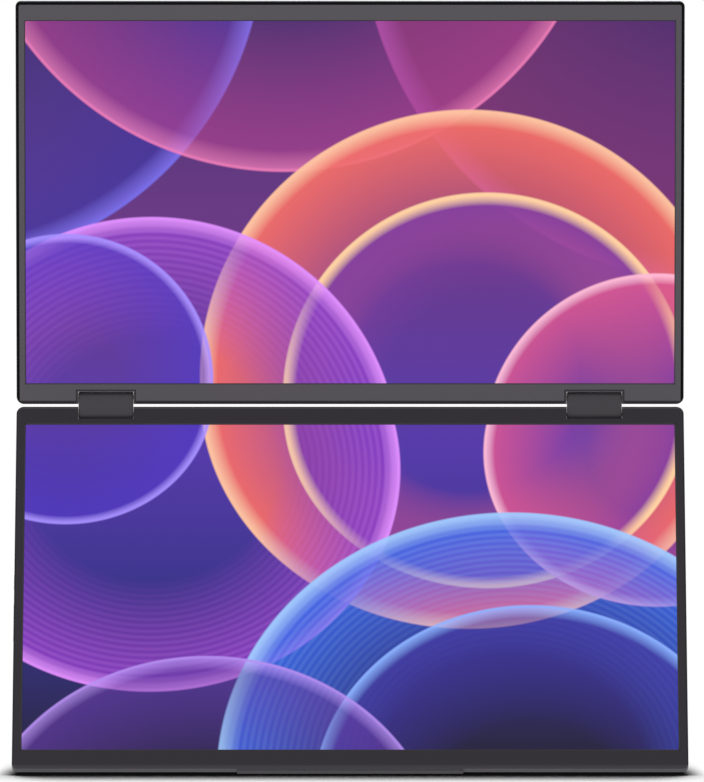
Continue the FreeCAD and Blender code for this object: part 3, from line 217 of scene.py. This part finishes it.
def grain(tree, shader, place, size, height, roughness):
    """Fine uneven grain: one noise lifts the surface and moves the roughness a little.

    size and height are in mm, so the noise scale is 1000 / size per metre, and roughness is
    the pair of values between which the finish wanders.
    """
    noise = add_node(
        tree, "ShaderNodeTexNoise", Vector=place, Scale=1000 / size, Detail=GRAIN_DETAIL)
    lift = add_node(
        tree, "ShaderNodeBump", Height=noise.outputs["Fac"],
        Strength=GRAIN_STRENGTH, Distance=height * MM,
    )
    tree.links.new(lift.outputs["Normal"], shader.inputs["Normal"])
    spread = add_node(
        tree, "ShaderNodeMapRange", Value=noise.outputs["Fac"],
        To_Min=roughness[0], To_Max=roughness[1],
    )
    tree.links.new(spread.outputs["Result"], shader.inputs["Roughness"])
    return noise


print("grain lifts a surface with strength", GRAIN_STRENGTH)

# %% [markdown]
# ## The frames
#
# The front frames are moulded, then sprayed with a satin dark grey paint. Satin paint is even in
# colour with a broad, soft shine, and at arm's length its only texture is a very fine spatter.
# The two halves get two copies of that paint: the upper half's is set lighter, as painted light,
# and the lower half's darker, as painted shade for its lean back.
# A thin dark line painted along the outer edge, wider on the upper half, is painted shade on the
# rounded rim. The roundings at the hinge edge and at the free edge get bands of painted light and
# shade: on the upper half both are painted shade, and on the lower half the hinge edge gets a
# painted highlight and the free edge, which faces the floor, painted light.
#
# Such lines could be painted on an unwrapped picture of the frame. Here the finish works out how
# far each point lies from the outer edge, which stays sharp from close up and leaves the CAD
# mesh as it is.

# %% Where a point lies on its half
def half_place(tree, place, half):
    """The flat coordinates of a half, in metres: across, along, and out or its opposite.

    A turn about the hinge direction lays the half flat: a quarter turn for the upright half,
    and a quarter turn plus the lean, the other way, for the leaning one.
    """
    turn = LEAN + QUARTER_TURN if half == "lower" else -QUARTER_TURN
    y, z = axles[half][1], axles[half][2]
    start = (
        0.0,
        -(y * math.cos(turn) - z * math.sin(turn)),
        -(y * math.sin(turn) + z * math.cos(turn)),
    )
    return add_node(
        tree, "ShaderNodeMapping", Vector=place, Location=start, Rotation=(turn, 0.0, 0.0)
    ).outputs["Vector"]


def outline_distance(tree, flat):
    """How far a point lies outside the casing's outline with round corners, in metres.

    q is how far the point passes the corner's centre on each axis. The distance is the length
    of the part of q above zero, plus the larger of q's two numbers where both are negative,
    less the corner radius. Only the free corners count: the near edge lies far below zero.
    """
    across = add_node(tree, "ShaderNodeMath", {"operation": "ABSOLUTE"}, _0=flat["X"]).outputs[0]
    beside = add_node(
        tree, "ShaderNodeMath", {"operation": "SUBTRACT"},
        _0=across, _1=(HALF_WIDTH - FREE_CORNER) * MM,
    ).outputs[0]
    beyond = add_node(
        tree, "ShaderNodeMath", {"operation": "SUBTRACT"},
        _0=flat["Y"], _1=(FAR_EDGE - FREE_CORNER) * MM,
    ).outputs[0]
    both = add_node(tree, "ShaderNodeCombineXYZ", X=beside, Y=beyond).outputs["Vector"]
    above = add_node(
        tree, "ShaderNodeVectorMath", {"operation": "MAXIMUM"}, _0=both, _1=(0.0, 0.0, 0.0)
    ).outputs["Vector"]
    length = add_node(
        tree, "ShaderNodeVectorMath", {"operation": "LENGTH"}, _0=above
    ).outputs["Value"]
    larger = add_node(
        tree, "ShaderNodeMath", {"operation": "MAXIMUM"}, _0=beside, _1=beyond
    ).outputs[0]
    inside = add_node(
        tree, "ShaderNodeMath", {"operation": "MINIMUM"}, _0=larger, _1=0.0
    ).outputs[0]
    total = add_node(tree, "ShaderNodeMath", {"operation": "ADD"}, _0=length, _1=inside).outputs[0]
    return add_node(
        tree, "ShaderNodeMath", {"operation": "SUBTRACT"}, _0=total, _1=FREE_CORNER * MM
    ).outputs[0]


print("the free corners are rounded by", FREE_CORNER, "mm")

# %% Satin paint with a dark outer edge
FREE_RIM = 1.7
HINGE_RIM = 2.0
SHARP = 0.15
SOFT = 0.3


def satin_frame_paint(name, half, paint, edge, edge_width, hinge_painted_light_and_shade, free_edge_painted_light_and_shade):
    """Spray paint whose colour turns dark within edge_width mm of the outline, as painted shade.

    Each tone changes over a smooth step, centred on its line and SHARP or SOFT mm to each
    side of it. The last FREE_RIM mm of the free edge and the first HINGE_RIM mm of the hinge
    edge take tones of painted light and shade of their own.
    """
    material, tree, shader, place = new_finish(
        name, Roughness=0.45, IOR=1.5, Specular_IOR_Level=0.05)
    noise = grain(tree, shader, place, 0.7, 0.012, (0.4, 0.52))
    flat = add_node(tree, "ShaderNodeSeparateXYZ", Vector=half_place(tree, place, half)).outputs
    hinge_line, free_line = NEAR_EDGE + HINGE_RIM, FAR_EDGE - FREE_RIM
    outer, near, free = (
        add_node(
            tree, "ShaderNodeMapRange", {"interpolation_type": "SMOOTHSTEP"},
            Value=measure, From_Min=start * MM, From_Max=end * MM,
        ).outputs["Result"]
        for measure, start, end in (
            (outline_distance(tree, flat), -edge_width - SHARP, -edge_width + SHARP),
            (flat["Y"], hinge_line + SOFT, hinge_line - SOFT),
            (flat["Y"], free_line - SHARP, free_line + SHARP),
        )
    )
    cloud = add_node(
        tree, "ShaderNodeMix", {"data_type": "RGBA"}, _0=noise.outputs["Fac"],
        _6=linear(paint[0]), _7=linear(paint[1]),
    ).outputs[2]
    # The hinge-edge band is painted shade on the upper half and a painted highlight on the lower half.
    face = add_node(
        tree, "ShaderNodeMix", {"data_type": "RGBA"}, _0=near, _6=cloud, _7=linear(hinge_painted_light_and_shade)
    ).outputs[2]
    # The dark rim is painted shade; the free-edge band is painted shade on the upper half and painted light
    # from the floor on the lower half.
    rim = add_node(
        tree, "ShaderNodeMix", {"data_type": "RGBA"},
        _0=free, _6=linear(edge), _7=linear(free_edge_painted_light_and_shade),
    ).outputs[2]
    colour = add_node(
        tree, "ShaderNodeMix", {"data_type": "RGBA"}, _0=outer, _6=face, _7=rim
    ).outputs[2]
    tree.links.new(colour, shader.inputs["Base Color"])
    return material


# The upper half's paint colours are set lighter, as painted light, and the lower half's darker, as painted
# shade.
finishes = {
    "upper_frame": satin_frame_paint(
        "satin_grey_paint_upper_with_painted_light_and_shade", "upper", ("#636065", "#69666b"),
        edge="#050406", edge_width=1.7, hinge_painted_light_and_shade="#38353a", free_edge_painted_light_and_shade="#050406"),
    "lower_frame": satin_frame_paint(
        "satin_grey_paint_lower_with_painted_light_and_shade", "lower", ("#3f3c41", "#444146"),
        edge="#242327", edge_width=0.8, hinge_painted_light_and_shade="#5a575c", free_edge_painted_light_and_shade="#4b484d"),
}
print("painted:", sorted(finishes))

# %% [markdown]
# ## Blasted and anodised aluminium
#
# The rear shells and the stand are pressed aluminium, blasted with fine glass beads and then
# dyed dark grey in the anodising bath. Blasting breaks the mirror of the metal into thousands of
# dimples, and the dyed layer swallows most of what is left. So the finish is only a fifth
# metallic: it shines broadly and shows no sharp reflections. The real dimples are about 0.1 mm
# wide, too fine to see in the picture, so they are drawn at 0.6 mm.

# %% Anodised shell metal
CLOUD_SIZE = 30


def anodised_aluminium(name, colour, light_colour):
    """Metal with a dimpled surface and a faint cloudiness of the dye, CLOUD_SIZE mm wide."""
    material, tree, shader, place = new_finish(name, Metallic=0.2, Roughness=0.5)
    grain(tree, shader, place, 0.6, 0.02, (0.42, 0.55))
    cloud = add_node(
        tree, "ShaderNodeTexNoise", Vector=place, Scale=1000 / CLOUD_SIZE, Detail=2.0)
    dye = add_node(
        tree, "ShaderNodeMix", {"data_type": "RGBA"}, _0=cloud.outputs["Fac"],
        _6=linear(colour), _7=linear(light_colour),
    )
    tree.links.new(dye.outputs[2], shader.inputs["Base Color"])
    return material


finishes["rear_shell"] = anodised_aluminium("anodised_aluminium_shell", "#69676c", "#716f74")
finishes["stand_metal"] = anodised_aluminium("anodised_aluminium_stand", "#66646a", "#6f6d72")
print("anodised: rear_shell, stand_metal")

# %% [markdown]
# ## Moulded, rubber and metal parts
#
# The small parts could each have a finish of their own, but at their size in the picture one
# recipe serves them all: two close colours that a noise of the right size mixes, and a grain
# that breaks the shine. Paint on the hinge covers is satin, the keys and the sockets' tongues
# are moulded ABS with a fine spark texture, the feet are dull rubber, and the steel of the
# hinges is turned and oiled, which leaves it brighter and smoother.

# %% One recipe for the small parts
def plain_finish(name, colours, speck, height, roughness, **inputs):
    """Two close colours mixed by noise of speck mm, with that grain on the surface."""
    material, tree, shader, place = new_finish(name, **inputs)
    noise = grain(tree, shader, place, speck, height, roughness)
    mix = add_node(
        tree, "ShaderNodeMix", {"data_type": "RGBA"}, _0=noise.outputs["Fac"],
        _6=linear(colours[0]), _7=linear(colours[1]),
    )
    tree.links.new(mix.outputs[2], shader.inputs["Base Color"])
    return material


finishes["hinge_cover_paint"] = plain_finish(
    "satin_paint_hinge_covers", ("#504d51", "#555257"), 0.7, 0.012, (0.38, 0.5), IOR=1.5,
    Specular_IOR_Level=0.1)
finishes["key_plastic"] = plain_finish(
    "moulded_abs_keys", ("#333135", "#3a383c"), 0.5, 0.02, (0.5, 0.62), IOR=1.54)
finishes["black_plastic"] = plain_finish(
    "moulded_abs_black", ("#1a1a1c", "#202022"), 0.5, 0.02, (0.45, 0.6), IOR=1.54)
finishes["foot_rubber"] = plain_finish(
    "moulded_rubber_feet", ("#4c4a4f", "#545257"), 0.8, 0.03, (0.75, 0.9), IOR=1.52)
finishes["led_strip"] = plain_finish(
    "white_led_strip", ("#e2decb", "#efe9c8"), 3.0, 0.02, (0.4, 0.5))
finishes["hinge_steel"] = plain_finish(
    "turned_oiled_steel", ("#8f9195", "#a3a5a9"), 0.4, 0.008, (0.22, 0.34), Metallic=1.0)
finishes["flat_cable"] = plain_finish(
    "polyimide_flat_cable", ("#232327", "#2e2d33"), 0.5, 0.02, (0.4, 0.5), IOR=1.6)
print("moulded and metal:", len(finishes), "finishes so far")

# %% [markdown]
# ## Sheets inside the casing
#
# Behind each picture lie the panel glass, a clear light guide, a rolled steel tray and boards
# with green solder mask. They show only through a gap or an open view, yet each is finished: the
# tray has the long straight lines of rolling, and the boards have fine parallel copper tracks
# under the mask. Tracks could be modelled one by one, but a wave pattern is enough for what an
# eye sees through a gap. Real ones are 0.2 mm wide, too fine to show, so they are drawn at 1.2 mm.

# %% Glass, guide, tray and boards
def lined_finish(name, colours, width, along, roughness, **inputs):
    """Straight parallel lines, about width mm wide with gaps as wide, that colour the surface.

    The wave turns by 20 radians for each unit of its scaled place. At a scale of 1000 over
    2 pi times the width, one turn, which is a line and its gap, is about twice the width.
    """
    material, tree, shader, place = new_finish(name, **inputs)
    grain(tree, shader, place, 0.5, 0.008, roughness)
    lines = add_node(
        tree, "ShaderNodeTexWave", {"wave_type": "BANDS", "bands_direction": along},
        Vector=place, Scale=1000 / width / (2 * math.pi), Distortion=1.5, Detail=1.0,
    )
    mix = add_node(
        tree, "ShaderNodeMix", {"data_type": "RGBA"}, _0=lines.outputs["Fac"],
        _6=linear(colours[0]), _7=linear(colours[1]),
    )
    tree.links.new(mix.outputs[2], shader.inputs["Base Color"])
    return material


finishes["sheet_metal"] = lined_finish(
    "rolled_sheet_steel", ("#a9abae", "#b9bbbe"), 1.0, "Z", (0.28, 0.4), Metallic=1.0)
finishes["circuit_board"] = lined_finish(
    "green_solder_mask", ("#1b4a30", "#2a6142"), 1.2, "X", (0.3, 0.42), IOR=1.55)
finishes["screen_glass"] = plain_finish(
    "black_panel_glass", ("#070709", "#0a0a0d"), 2.0, 0.001, (0.1, 0.14), IOR=1.52)
finishes["clear_guide"] = plain_finish(
    "clear_acrylic_guide", ("#dfe6ea", "#e6edf0"), 2.0, 0.002, (0.08, 0.12), IOR=1.49,
    Transmission_Weight=0.7)
print("finishes:", len(finishes))

# %% [markdown]
# ## Every CAD piece gets its finish
#
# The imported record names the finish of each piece. The pieces could be dressed one by one, but a
# loop over the record also serves a piece that is added later, and it touches only the slots.

# %% Hand out the finishes
for row in frame["record"]["subparts"]:
    node = frame["nodes"][row["node"]]
    if not node.material_slots:
        node.data.materials.append(None)
    for place_of_material in node.material_slots:
        place_of_material.material = finishes[row["material_slot"]]

# %% [markdown]
# ## The lit pictures
#
# A lit panel makes its own light, so its colour is an emission of strength 1: what is written is
# what shows. The picture is a plain design of large soft circles over a slow change of colour.
# It could be an image, but nodes need no file and stay sharp from close up. Each circle is the
# distance from its centre, sent through a ramp that is clear inside, grows stronger towards the
# rim, and ends in a thin bright line.

# %% The design
PICTURE_UNIT = 100
BACKGROUND_REACH = 2.01
BACKGROUND = (
    # share of the height, and colour
    (0.0, "#140d33"),
    (0.22, "#2a2484"),
    (0.45, "#4e2ea6"),
    (0.72, "#642880"),
    (1.0, "#351768"),
)
CIRCLES = (
    # centre across and up and radius in units of 100 mm, the share of the radius where the
    # colour starts, body colour, rim colour, strength, and strength of the fine rings
    ((2.0, 2.55), 1.95, 0.1, "#78246c", "#a846a4", 0.9, 0.0),
    ((-2.2, 2.45), 1.75, 0.3, "#33229a", "#7368ea", 0.8, 0.0),
    ((-0.35, 2.9), 1.7, 0.45, "#a8328a", "#f07ab8", 0.6, 0.0),
    ((0.62, 0.12), 1.42, 0.42, "#ee6660", "#ffc09c", 0.92, 0.0),
    ((0.72, 0.02), 1.08, 0.5, "#7c2f9c", "#ffd2a2", 0.9, 0.0),
    ((-1.05, -0.35), 1.32, 0.5, "#8a35c4", "#e08cff", 0.8, 0.16),
    ((-1.5, 0.1), 0.78, 0.35, "#4a2cc0", "#a48cff", 0.75, 0.0),
    ((1.62, -0.25), 0.92, 0.4, "#d8508e", "#ffb8d4", 0.8, 0.0),
    ((0.85, -2.15), 1.55, 0.45, "#2a62e4", "#9cc8ff", 0.88, 0.14),
    ((0.95, -2.3), 1.15, 0.4, "#3a2aa0", "#8ab0ff", 0.7, 0.0),
    ((-0.75, -2.7), 1.25, 0.4, "#5b2f9e", "#b48cf0", 0.6, 0.0),
)
print("circles in the picture:", len(CIRCLES))


# %% The background
def background_colour(tree, picture):
    """The height in the picture as a share of its whole, sent through a ramp of colours."""
    height = add_node(tree, "ShaderNodeSeparateXYZ", Vector=picture).outputs["Y"]
    level = add_node(
        tree, "ShaderNodeMapRange", Value=height,
        From_Min=-BACKGROUND_REACH, From_Max=BACKGROUND_REACH,
    ).outputs["Result"]
    ramp = add_node(tree, "ShaderNodeValToRGB", Fac=level)
    stops = ramp.color_ramp.elements
    stops[0].position, stops[0].color = BACKGROUND[0][0], linear(BACKGROUND[0][1])
    stops[1].position, stops[1].color = BACKGROUND[-1][0], linear(BACKGROUND[-1][1])
    for position, tone in BACKGROUND[1:-1]:
        stops.new(position).color = linear(tone)
    return ramp.outputs["Color"]


print("colours in the background:", len(BACKGROUND))

# %% One circle
BODY_END = 0.93
BRIGHT_LINE = 0.011
LINE_START = 2.2
RING_SCALE = 9.0


def soft_circle(tree, moved, radius, start, body, rim, strength):
    """The colour and the cover of a circle, by the distance from its centre over its radius.

    The cover is 0 up to the start, grows to its strength at BODY_END, is 1 on a bright line
    of even width, and is 0 again from the radius on. That width is BRIGHT_LINE.
    """
    away = add_node(
        tree, "ShaderNodeVectorMath", {"operation": "LENGTH"}, _0=moved
    ).outputs["Value"]
    share = add_node(
        tree, "ShaderNodeMath", {"operation": "DIVIDE"}, _0=away, _1=radius
    ).outputs[0]
    disc = add_node(tree, "ShaderNodeValToRGB", Fac=share)
    line = BRIGHT_LINE / radius
    stops = disc.color_ramp.elements
    stops[0].position, stops[0].color = start, (*linear(body)[:3], 0.0)
    stops[1].position, stops[1].color = 1.0, (*linear(rim)[:3], 0.0)
    for position, tone, cover in (
        (BODY_END, body, strength),
        (1.0 - LINE_START * line, rim, strength),
        (1.0 - line, rim, 1.0),
    ):
        stops.new(position).color = (*linear(tone)[:3], cover)
    return disc.outputs["Color"], disc.outputs["Alpha"]


def fine_rings(tree, moved, cover, rings):
    """How strongly rings 3.5 mm apart show: a wave of the distance, times cover and strength."""
    wave = add_node(
        tree, "ShaderNodeTexWave",
        {"wave_type": "RINGS", "rings_direction": "SPHERICAL"}, Vector=moved, Scale=RING_SCALE,
    ).outputs["Fac"]
    weight = add_node(
        tree, "ShaderNodeMath", {"operation": "MULTIPLY"}, _0=cover, _1=rings
    ).outputs[0]
    return add_node(
        tree, "ShaderNodeMath", {"operation": "MULTIPLY"}, _0=weight, _1=wave
    ).outputs[0]


print("a bright line is", round(BRIGHT_LINE * PICTURE_UNIT, 2), "mm wide")


# %% The lit finish
def soft_circle_picture():
    """The emission colour of the pictures, built up circle by circle from back to front."""
    material, tree, shader, _ = new_finish(
        "lit_panel", Base_Color=linear("#050507"), Roughness=0.35, IOR=1.5,
        Specular_IOR_Level=0.2, Emission_Strength=1.0,
    )
    picture = add_node(tree, "ShaderNodeUVMap", {"uv_map": "picture"}).outputs["UV"]
    colour = background_colour(tree, picture)
    for centre, radius, start, body, rim, strength, rings in CIRCLES:
        moved = add_node(
            tree, "ShaderNodeVectorMath", {"operation": "SUBTRACT"}, _0=picture, _1=(*centre, 0.0)
        ).outputs["Vector"]
        tone, cover = soft_circle(tree, moved, radius, start, body, rim, strength)
        colour = add_node(
            tree, "ShaderNodeMix", {"data_type": "RGBA"}, _0=cover, _6=colour, _7=tone
        ).outputs[2]
        if rings:
            colour = add_node(
                tree, "ShaderNodeMix", {"data_type": "RGBA"},
                _0=fine_rings(tree, moved, cover, rings), _6=colour, _7=linear(rim),
            ).outputs[2]
    tree.links.new(colour, shader.inputs["Emission Color"])
    return material


lit_panel = soft_circle_picture()
print("nodes in the picture:", len(lit_panel.node_tree.nodes))

# %% [markdown]
# ## The panels' top sheet
#
# On the real screen the picture shows in a thin sheet that is bonded over the panel glass. It
# could be a flat plane with thickness added by a modifier. Here it is a stack of outlines that
# grow from the middle, pass round the edge and shrink again behind, which gives a closed shape
# with evenly spread faces straight away.

# %% The lit sheet
SEAL_WIDTH = 0.6
SHEET_CORNER = 0.8
SHEET_INSET = 0.7 * SEAL_WIDTH
SHEET_LIFT = 0.02
SHEET_THICKNESS = 0.05
SHEET_SCALES = np.array([0.001, 0.5, 1.0, 1.0, 0.5, 0.001])
SHEET_FRONT = np.array([1, 1, 1, 0, 0, 0])


def lit_sheet(half):
    """Outlines scaled about the window's middle by 0.001 ... 1 in front, then back behind."""
    outline, _ = rounded_outline(
        WINDOW_HALF_WIDTH - SHEET_INSET, WINDOW_NEAR + SHEET_INSET, WINDOW_FAR - SHEET_INSET,
        SHEET_CORNER,
    )
    middle = np.array([0.0, (WINDOW_NEAR + WINDOW_FAR) / 2])
    level = GLASS_FRONT + SHEET_THICKNESS * SHEET_FRONT + SHEET_LIFT
    flat = middle + (outline - middle) * SHEET_SCALES[:, None, None]
    out = np.broadcast_to(level[:, None, None], flat.shape[:2] + (1,))
    rings = in_place(half, np.concatenate([flat, out], axis=-1))
    upright = np.array([1.0, -1.0 if half == "lower" else 1.0])
    picture = flat * upright / PICTURE_UNIT
    piece = ring_surface(half + "_picture", rings, False, picture=picture)
    piece.data.materials.append(lit_panel)
    return piece


print("each sheet is", SHEET_THICKNESS, "mm thick")

# %% [markdown]
# ## The seals
#
# A soft black seal fills the corner between the sheet and the painted lip, and shows as a fine
# dark outline. It could be a curve with a round bevel. A quarter-round profile that is carried
# once round the window's outline needs no modifier, and lies flat against both of its walls.

# %% The seal round a window
SEAL_HEIGHT = 0.55
SEAL_LIFT = 0.01
SEAL_STEPS = 6


def window_seal(half):
    """A quarter-round profile, in (inward, out) steps, carried round the window's outline."""
    outline, outward = rounded_outline(
        WINDOW_HALF_WIDTH, WINDOW_NEAR, WINDOW_FAR, SHEET_CORNER + SEAL_WIDTH
    )
    turn = np.linspace(0, QUARTER_TURN, SEAL_STEPS)
    inward = np.concatenate([[0.0], SEAL_WIDTH * np.cos(turn)])
    level = np.concatenate([[0.0], SEAL_HEIGHT * np.sin(turn)]) + GLASS_FRONT + SEAL_LIFT
    flat = outline - outward * inward[:, None, None]
    out = np.broadcast_to(level[:, None, None], flat.shape[:2] + (1,))
    rings = in_place(half, np.concatenate([flat, out], axis=-1))
    piece = ring_surface(half + "_seal", rings, True)
    piece.data.materials.append(finishes["black_plastic"])
    return piece


for half in ("upper", "lower"):
    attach(lit_sheet(half), half + "_screen")
    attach(window_seal(half), half + "_screen")

# %% [markdown]
# ## The stage
#
# The floor and the background are plain white. Seen by the camera, or in a reflection, they are
# white at strength 1, while they light the object with less than that. The floor darkens only
# where something stands within 45 mm over it, which leaves the black line under the front edge.
# A plain floor would take a wide grey shadow from the lamps instead, and the picture has none.

# %% The floor's disc
WHITE = linear("#ffffff")
FLOOR_RADIUS = 25.0
FLOOR_SIDES = 64
FLOOR_DROP = 0.05

angle = np.linspace(0, 2 * math.pi, FLOOR_SIDES, endpoint=False)
floor_points = np.stack(
    [FLOOR_RADIUS * np.cos(angle), FLOOR_RADIUS * np.sin(angle), 0 * angle - FLOOR_DROP * MM], -1)
floor_mesh = bpy.data.meshes.new("floor")
floor_mesh.from_pydata(floor_points.tolist(), [], [list(range(FLOOR_SIDES))])
floor = bpy.data.objects.new("floor", floor_mesh)
bpy.context.scene.collection.objects.link(floor)
print("floor radius:", FLOOR_RADIUS, "m")

# %% [markdown]
# ## The shadow on the floor
#
# The floor is black where the open share of the sky is 0.83 or less, and white from 0.965 on.
# At the ends of the casing, a little more further back, a step across the floor's place paints
# that shadow out, as painted light from both sides, and behind the front edge a second step
# paints most of it out, as painted light coming in under the casing from behind.

# %% How white each point of the floor is
SHADOW_REACH = 45.0
SHADOW_SAMPLES = 24
DARK_OPENNESS = 0.83
WHITE_OPENNESS = 0.965
SIDE_REACH_IN = 3.0
SIDE_REACH_OUT = 12.0
SIDE_SLANT = 0.15
BEHIND_START = 5.0
BEHIND_END = 40.0
BEHIND_FILL = 0.72


def floor_whiteness(tree):
    """0 where the floor is black and 1 where it is white.

    The open share of the sky is stretched so that its two limits become 0 and 1. The larger
    of that and a smooth step across the casing's side counts, and a smooth step behind the
    front edge then takes the result BEHIND_FILL of the way to 1.
    """
    sky_share = add_node(
        tree, "ShaderNodeAmbientOcclusion", {"samples": SHADOW_SAMPLES},
        Distance=SHADOW_REACH * MM,
    ).outputs["AO"]
    openness = add_node(
        tree, "ShaderNodeMapRange", Value=sky_share,
        From_Min=DARK_OPENNESS, From_Max=WHITE_OPENNESS,
    ).outputs["Result"]
    floor_place = add_node(tree, "ShaderNodeTexCoord").outputs["Object"]
    on_floor = add_node(tree, "ShaderNodeSeparateXYZ", Vector=floor_place).outputs
    across = add_node(
        tree, "ShaderNodeMath", {"operation": "ABSOLUTE"}, _0=on_floor["X"]
    ).outputs[0]
    outside = add_node(
        tree, "ShaderNodeMath", {"operation": "MULTIPLY_ADD"},
        _0=on_floor["Y"], _1=SIDE_SLANT, _2=across,
    ).outputs[0]
    # Painted light: across the casing's sides the shadow is painted out by the point's place on the floor.
    beside = add_node(
        tree, "ShaderNodeMapRange", {"interpolation_type": "SMOOTHSTEP"}, Value=outside,
        From_Min=(HALF_WIDTH - SIDE_REACH_IN) * MM, From_Max=(HALF_WIDTH + SIDE_REACH_OUT) * MM,
    ).outputs["Result"]
    openness = add_node(
        tree, "ShaderNodeMath", {"operation": "MAXIMUM"}, _0=openness, _1=beside
    ).outputs[0]
    # Painted light: behind the front edge most of the shadow is painted out by the point's place on the
    # floor.
    behind = add_node(
        tree, "ShaderNodeMapRange", {"interpolation_type": "SMOOTHSTEP"}, Value=on_floor["Y"],
        From_Min=BEHIND_START * MM, From_Max=BEHIND_END * MM, To_Max=BEHIND_FILL,
    ).outputs["Result"]
    return add_node(tree, "ShaderNodeMix", _0=behind, _2=openness, _3=1.0).outputs[0]


def seen_directly(tree):
    """1 for rays from the camera, from gloss or through glass, and 0 for all other light."""
    path = add_node(tree, "ShaderNodeLightPath").outputs
    seen = add_node(
        tree, "ShaderNodeMath", {"operation": "MAXIMUM"},
        _0=path["Is Camera Ray"], _1=path["Is Glossy Ray"],
    ).outputs[0]
    return add_node(
        tree, "ShaderNodeMath", {"operation": "MAXIMUM"}, _0=seen, _1=path["Is Transmission Ray"]
    ).outputs[0]


print("the floor's shadow reaches", SHADOW_REACH, "mm")

# %% The floor's paint
FLOOR_LIGHT = 0.8
FLOOR_SHADE = linear("#272727")

floor_paint = bpy.data.materials.new("pale_floor")
floor_paint.use_nodes = True
tree = floor_paint.node_tree
tree.nodes.clear()
glow = add_node(tree, "ShaderNodeEmission", Color=WHITE, Strength=floor_whiteness(tree))
shade = add_node(tree, "ShaderNodeBsdfDiffuse", Color=FLOOR_SHADE)
in_view = add_node(tree, "ShaderNodeAddShader", _0=glow.outputs[0], _1=shade.outputs[0])
as_light = add_node(tree, "ShaderNodeEmission", Color=WHITE, Strength=FLOOR_LIGHT)
both = add_node(
    tree, "ShaderNodeMixShader",
    _0=seen_directly(tree), _1=as_light.outputs[0], _2=in_view.outputs[0],
)
add_node(tree, "ShaderNodeOutputMaterial", Surface=both.outputs[0])
floor_mesh.materials.append(floor_paint)
print("floor: white to the camera, as a light", FLOOR_LIGHT)

# %% [markdown]
# ## The light
#
# The picture shows even light from all round, with hardly a shadow. Many lamps could give that,
# but a white world does it with one value, which is less than the white that the camera sees.
# Three large square lamps add a little direction: one low in front, one above and one behind.

# %% World
WORLD_LIGHT = 0.3

world = bpy.data.worlds.new("studio")
bpy.context.scene.world = world
world.use_nodes = True
tree = world.node_tree
tree.nodes.clear()
strength = add_node(
    tree, "ShaderNodeMapRange", Value=seen_directly(tree), To_Min=WORLD_LIGHT, To_Max=1.0
).outputs["Result"]
sky = add_node(tree, "ShaderNodeBackground", Color=WHITE, Strength=strength)
add_node(tree, "ShaderNodeOutputWorld", Surface=sky.outputs[0])
print("world: white to the camera, as a light", WORLD_LIGHT)


# %% Lamps
def soft_lamp(name, place, aim, size, power):
    """A square area lamp of that size in metres, turned towards a point."""
    data = bpy.data.lights.new(name, "AREA")
    data.size, data.energy = size, power
    lamp = bpy.data.objects.new(name, data)
    lamp.location = place
    away = np.array(place, float) - np.array(aim, float)
    flat = math.hypot(away[0], away[1])
    lamp.rotation_euler = (math.atan2(flat, away[2]), 0.0, math.atan2(away[0], -away[1]))
    bpy.context.scene.collection.objects.link(lamp)
    return lamp


MIDDLE = (0.0, 0.08, 0.2)
soft_lamp("key", (-0.7, -2.6, 0.75), MIDDLE, size=1.6, power=14.0)
soft_lamp("top", (0.3, 0.4, 2.2), MIDDLE, size=1.4, power=8.0)
soft_lamp("back", (0.8, 2.4, 1.2), MIDDLE, size=1.6, power=16.0)
print("lamps: key, top, back")

# %% [markdown]
# ## The camera
#
# The picture was taken from far away, nearly level, so the frames show almost no perspective.
# The place of the camera comes from fitting the edges of both screens to the photograph.

# %% Camera
CAMERA_DISTANCE = 6.911
CAMERA_ELEVATION = math.radians(6.66)
CAMERA_AIM = np.array([0.99, 120.4, 187.03]) * MM
LENS = 600.8
SENSOR = 36.0

lens = bpy.data.cameras.new("camera")
lens.lens, lens.sensor_width, lens.sensor_fit = LENS, SENSOR, "AUTO"
lens.clip_start, lens.clip_end = 0.1, 100.0
camera = bpy.data.objects.new("camera", lens)
back = np.array([0.0, -math.cos(CAMERA_ELEVATION), math.sin(CAMERA_ELEVATION)])
camera.location = CAMERA_AIM + CAMERA_DISTANCE * back
camera.rotation_euler = (QUARTER_TURN - CAMERA_ELEVATION, 0.0, 0.0)
bpy.context.scene.collection.objects.link(camera)
bpy.context.scene.camera = camera
bpy.context.scene.view_settings.view_transform = "Standard"
print("camera at", tuple(camera.location))
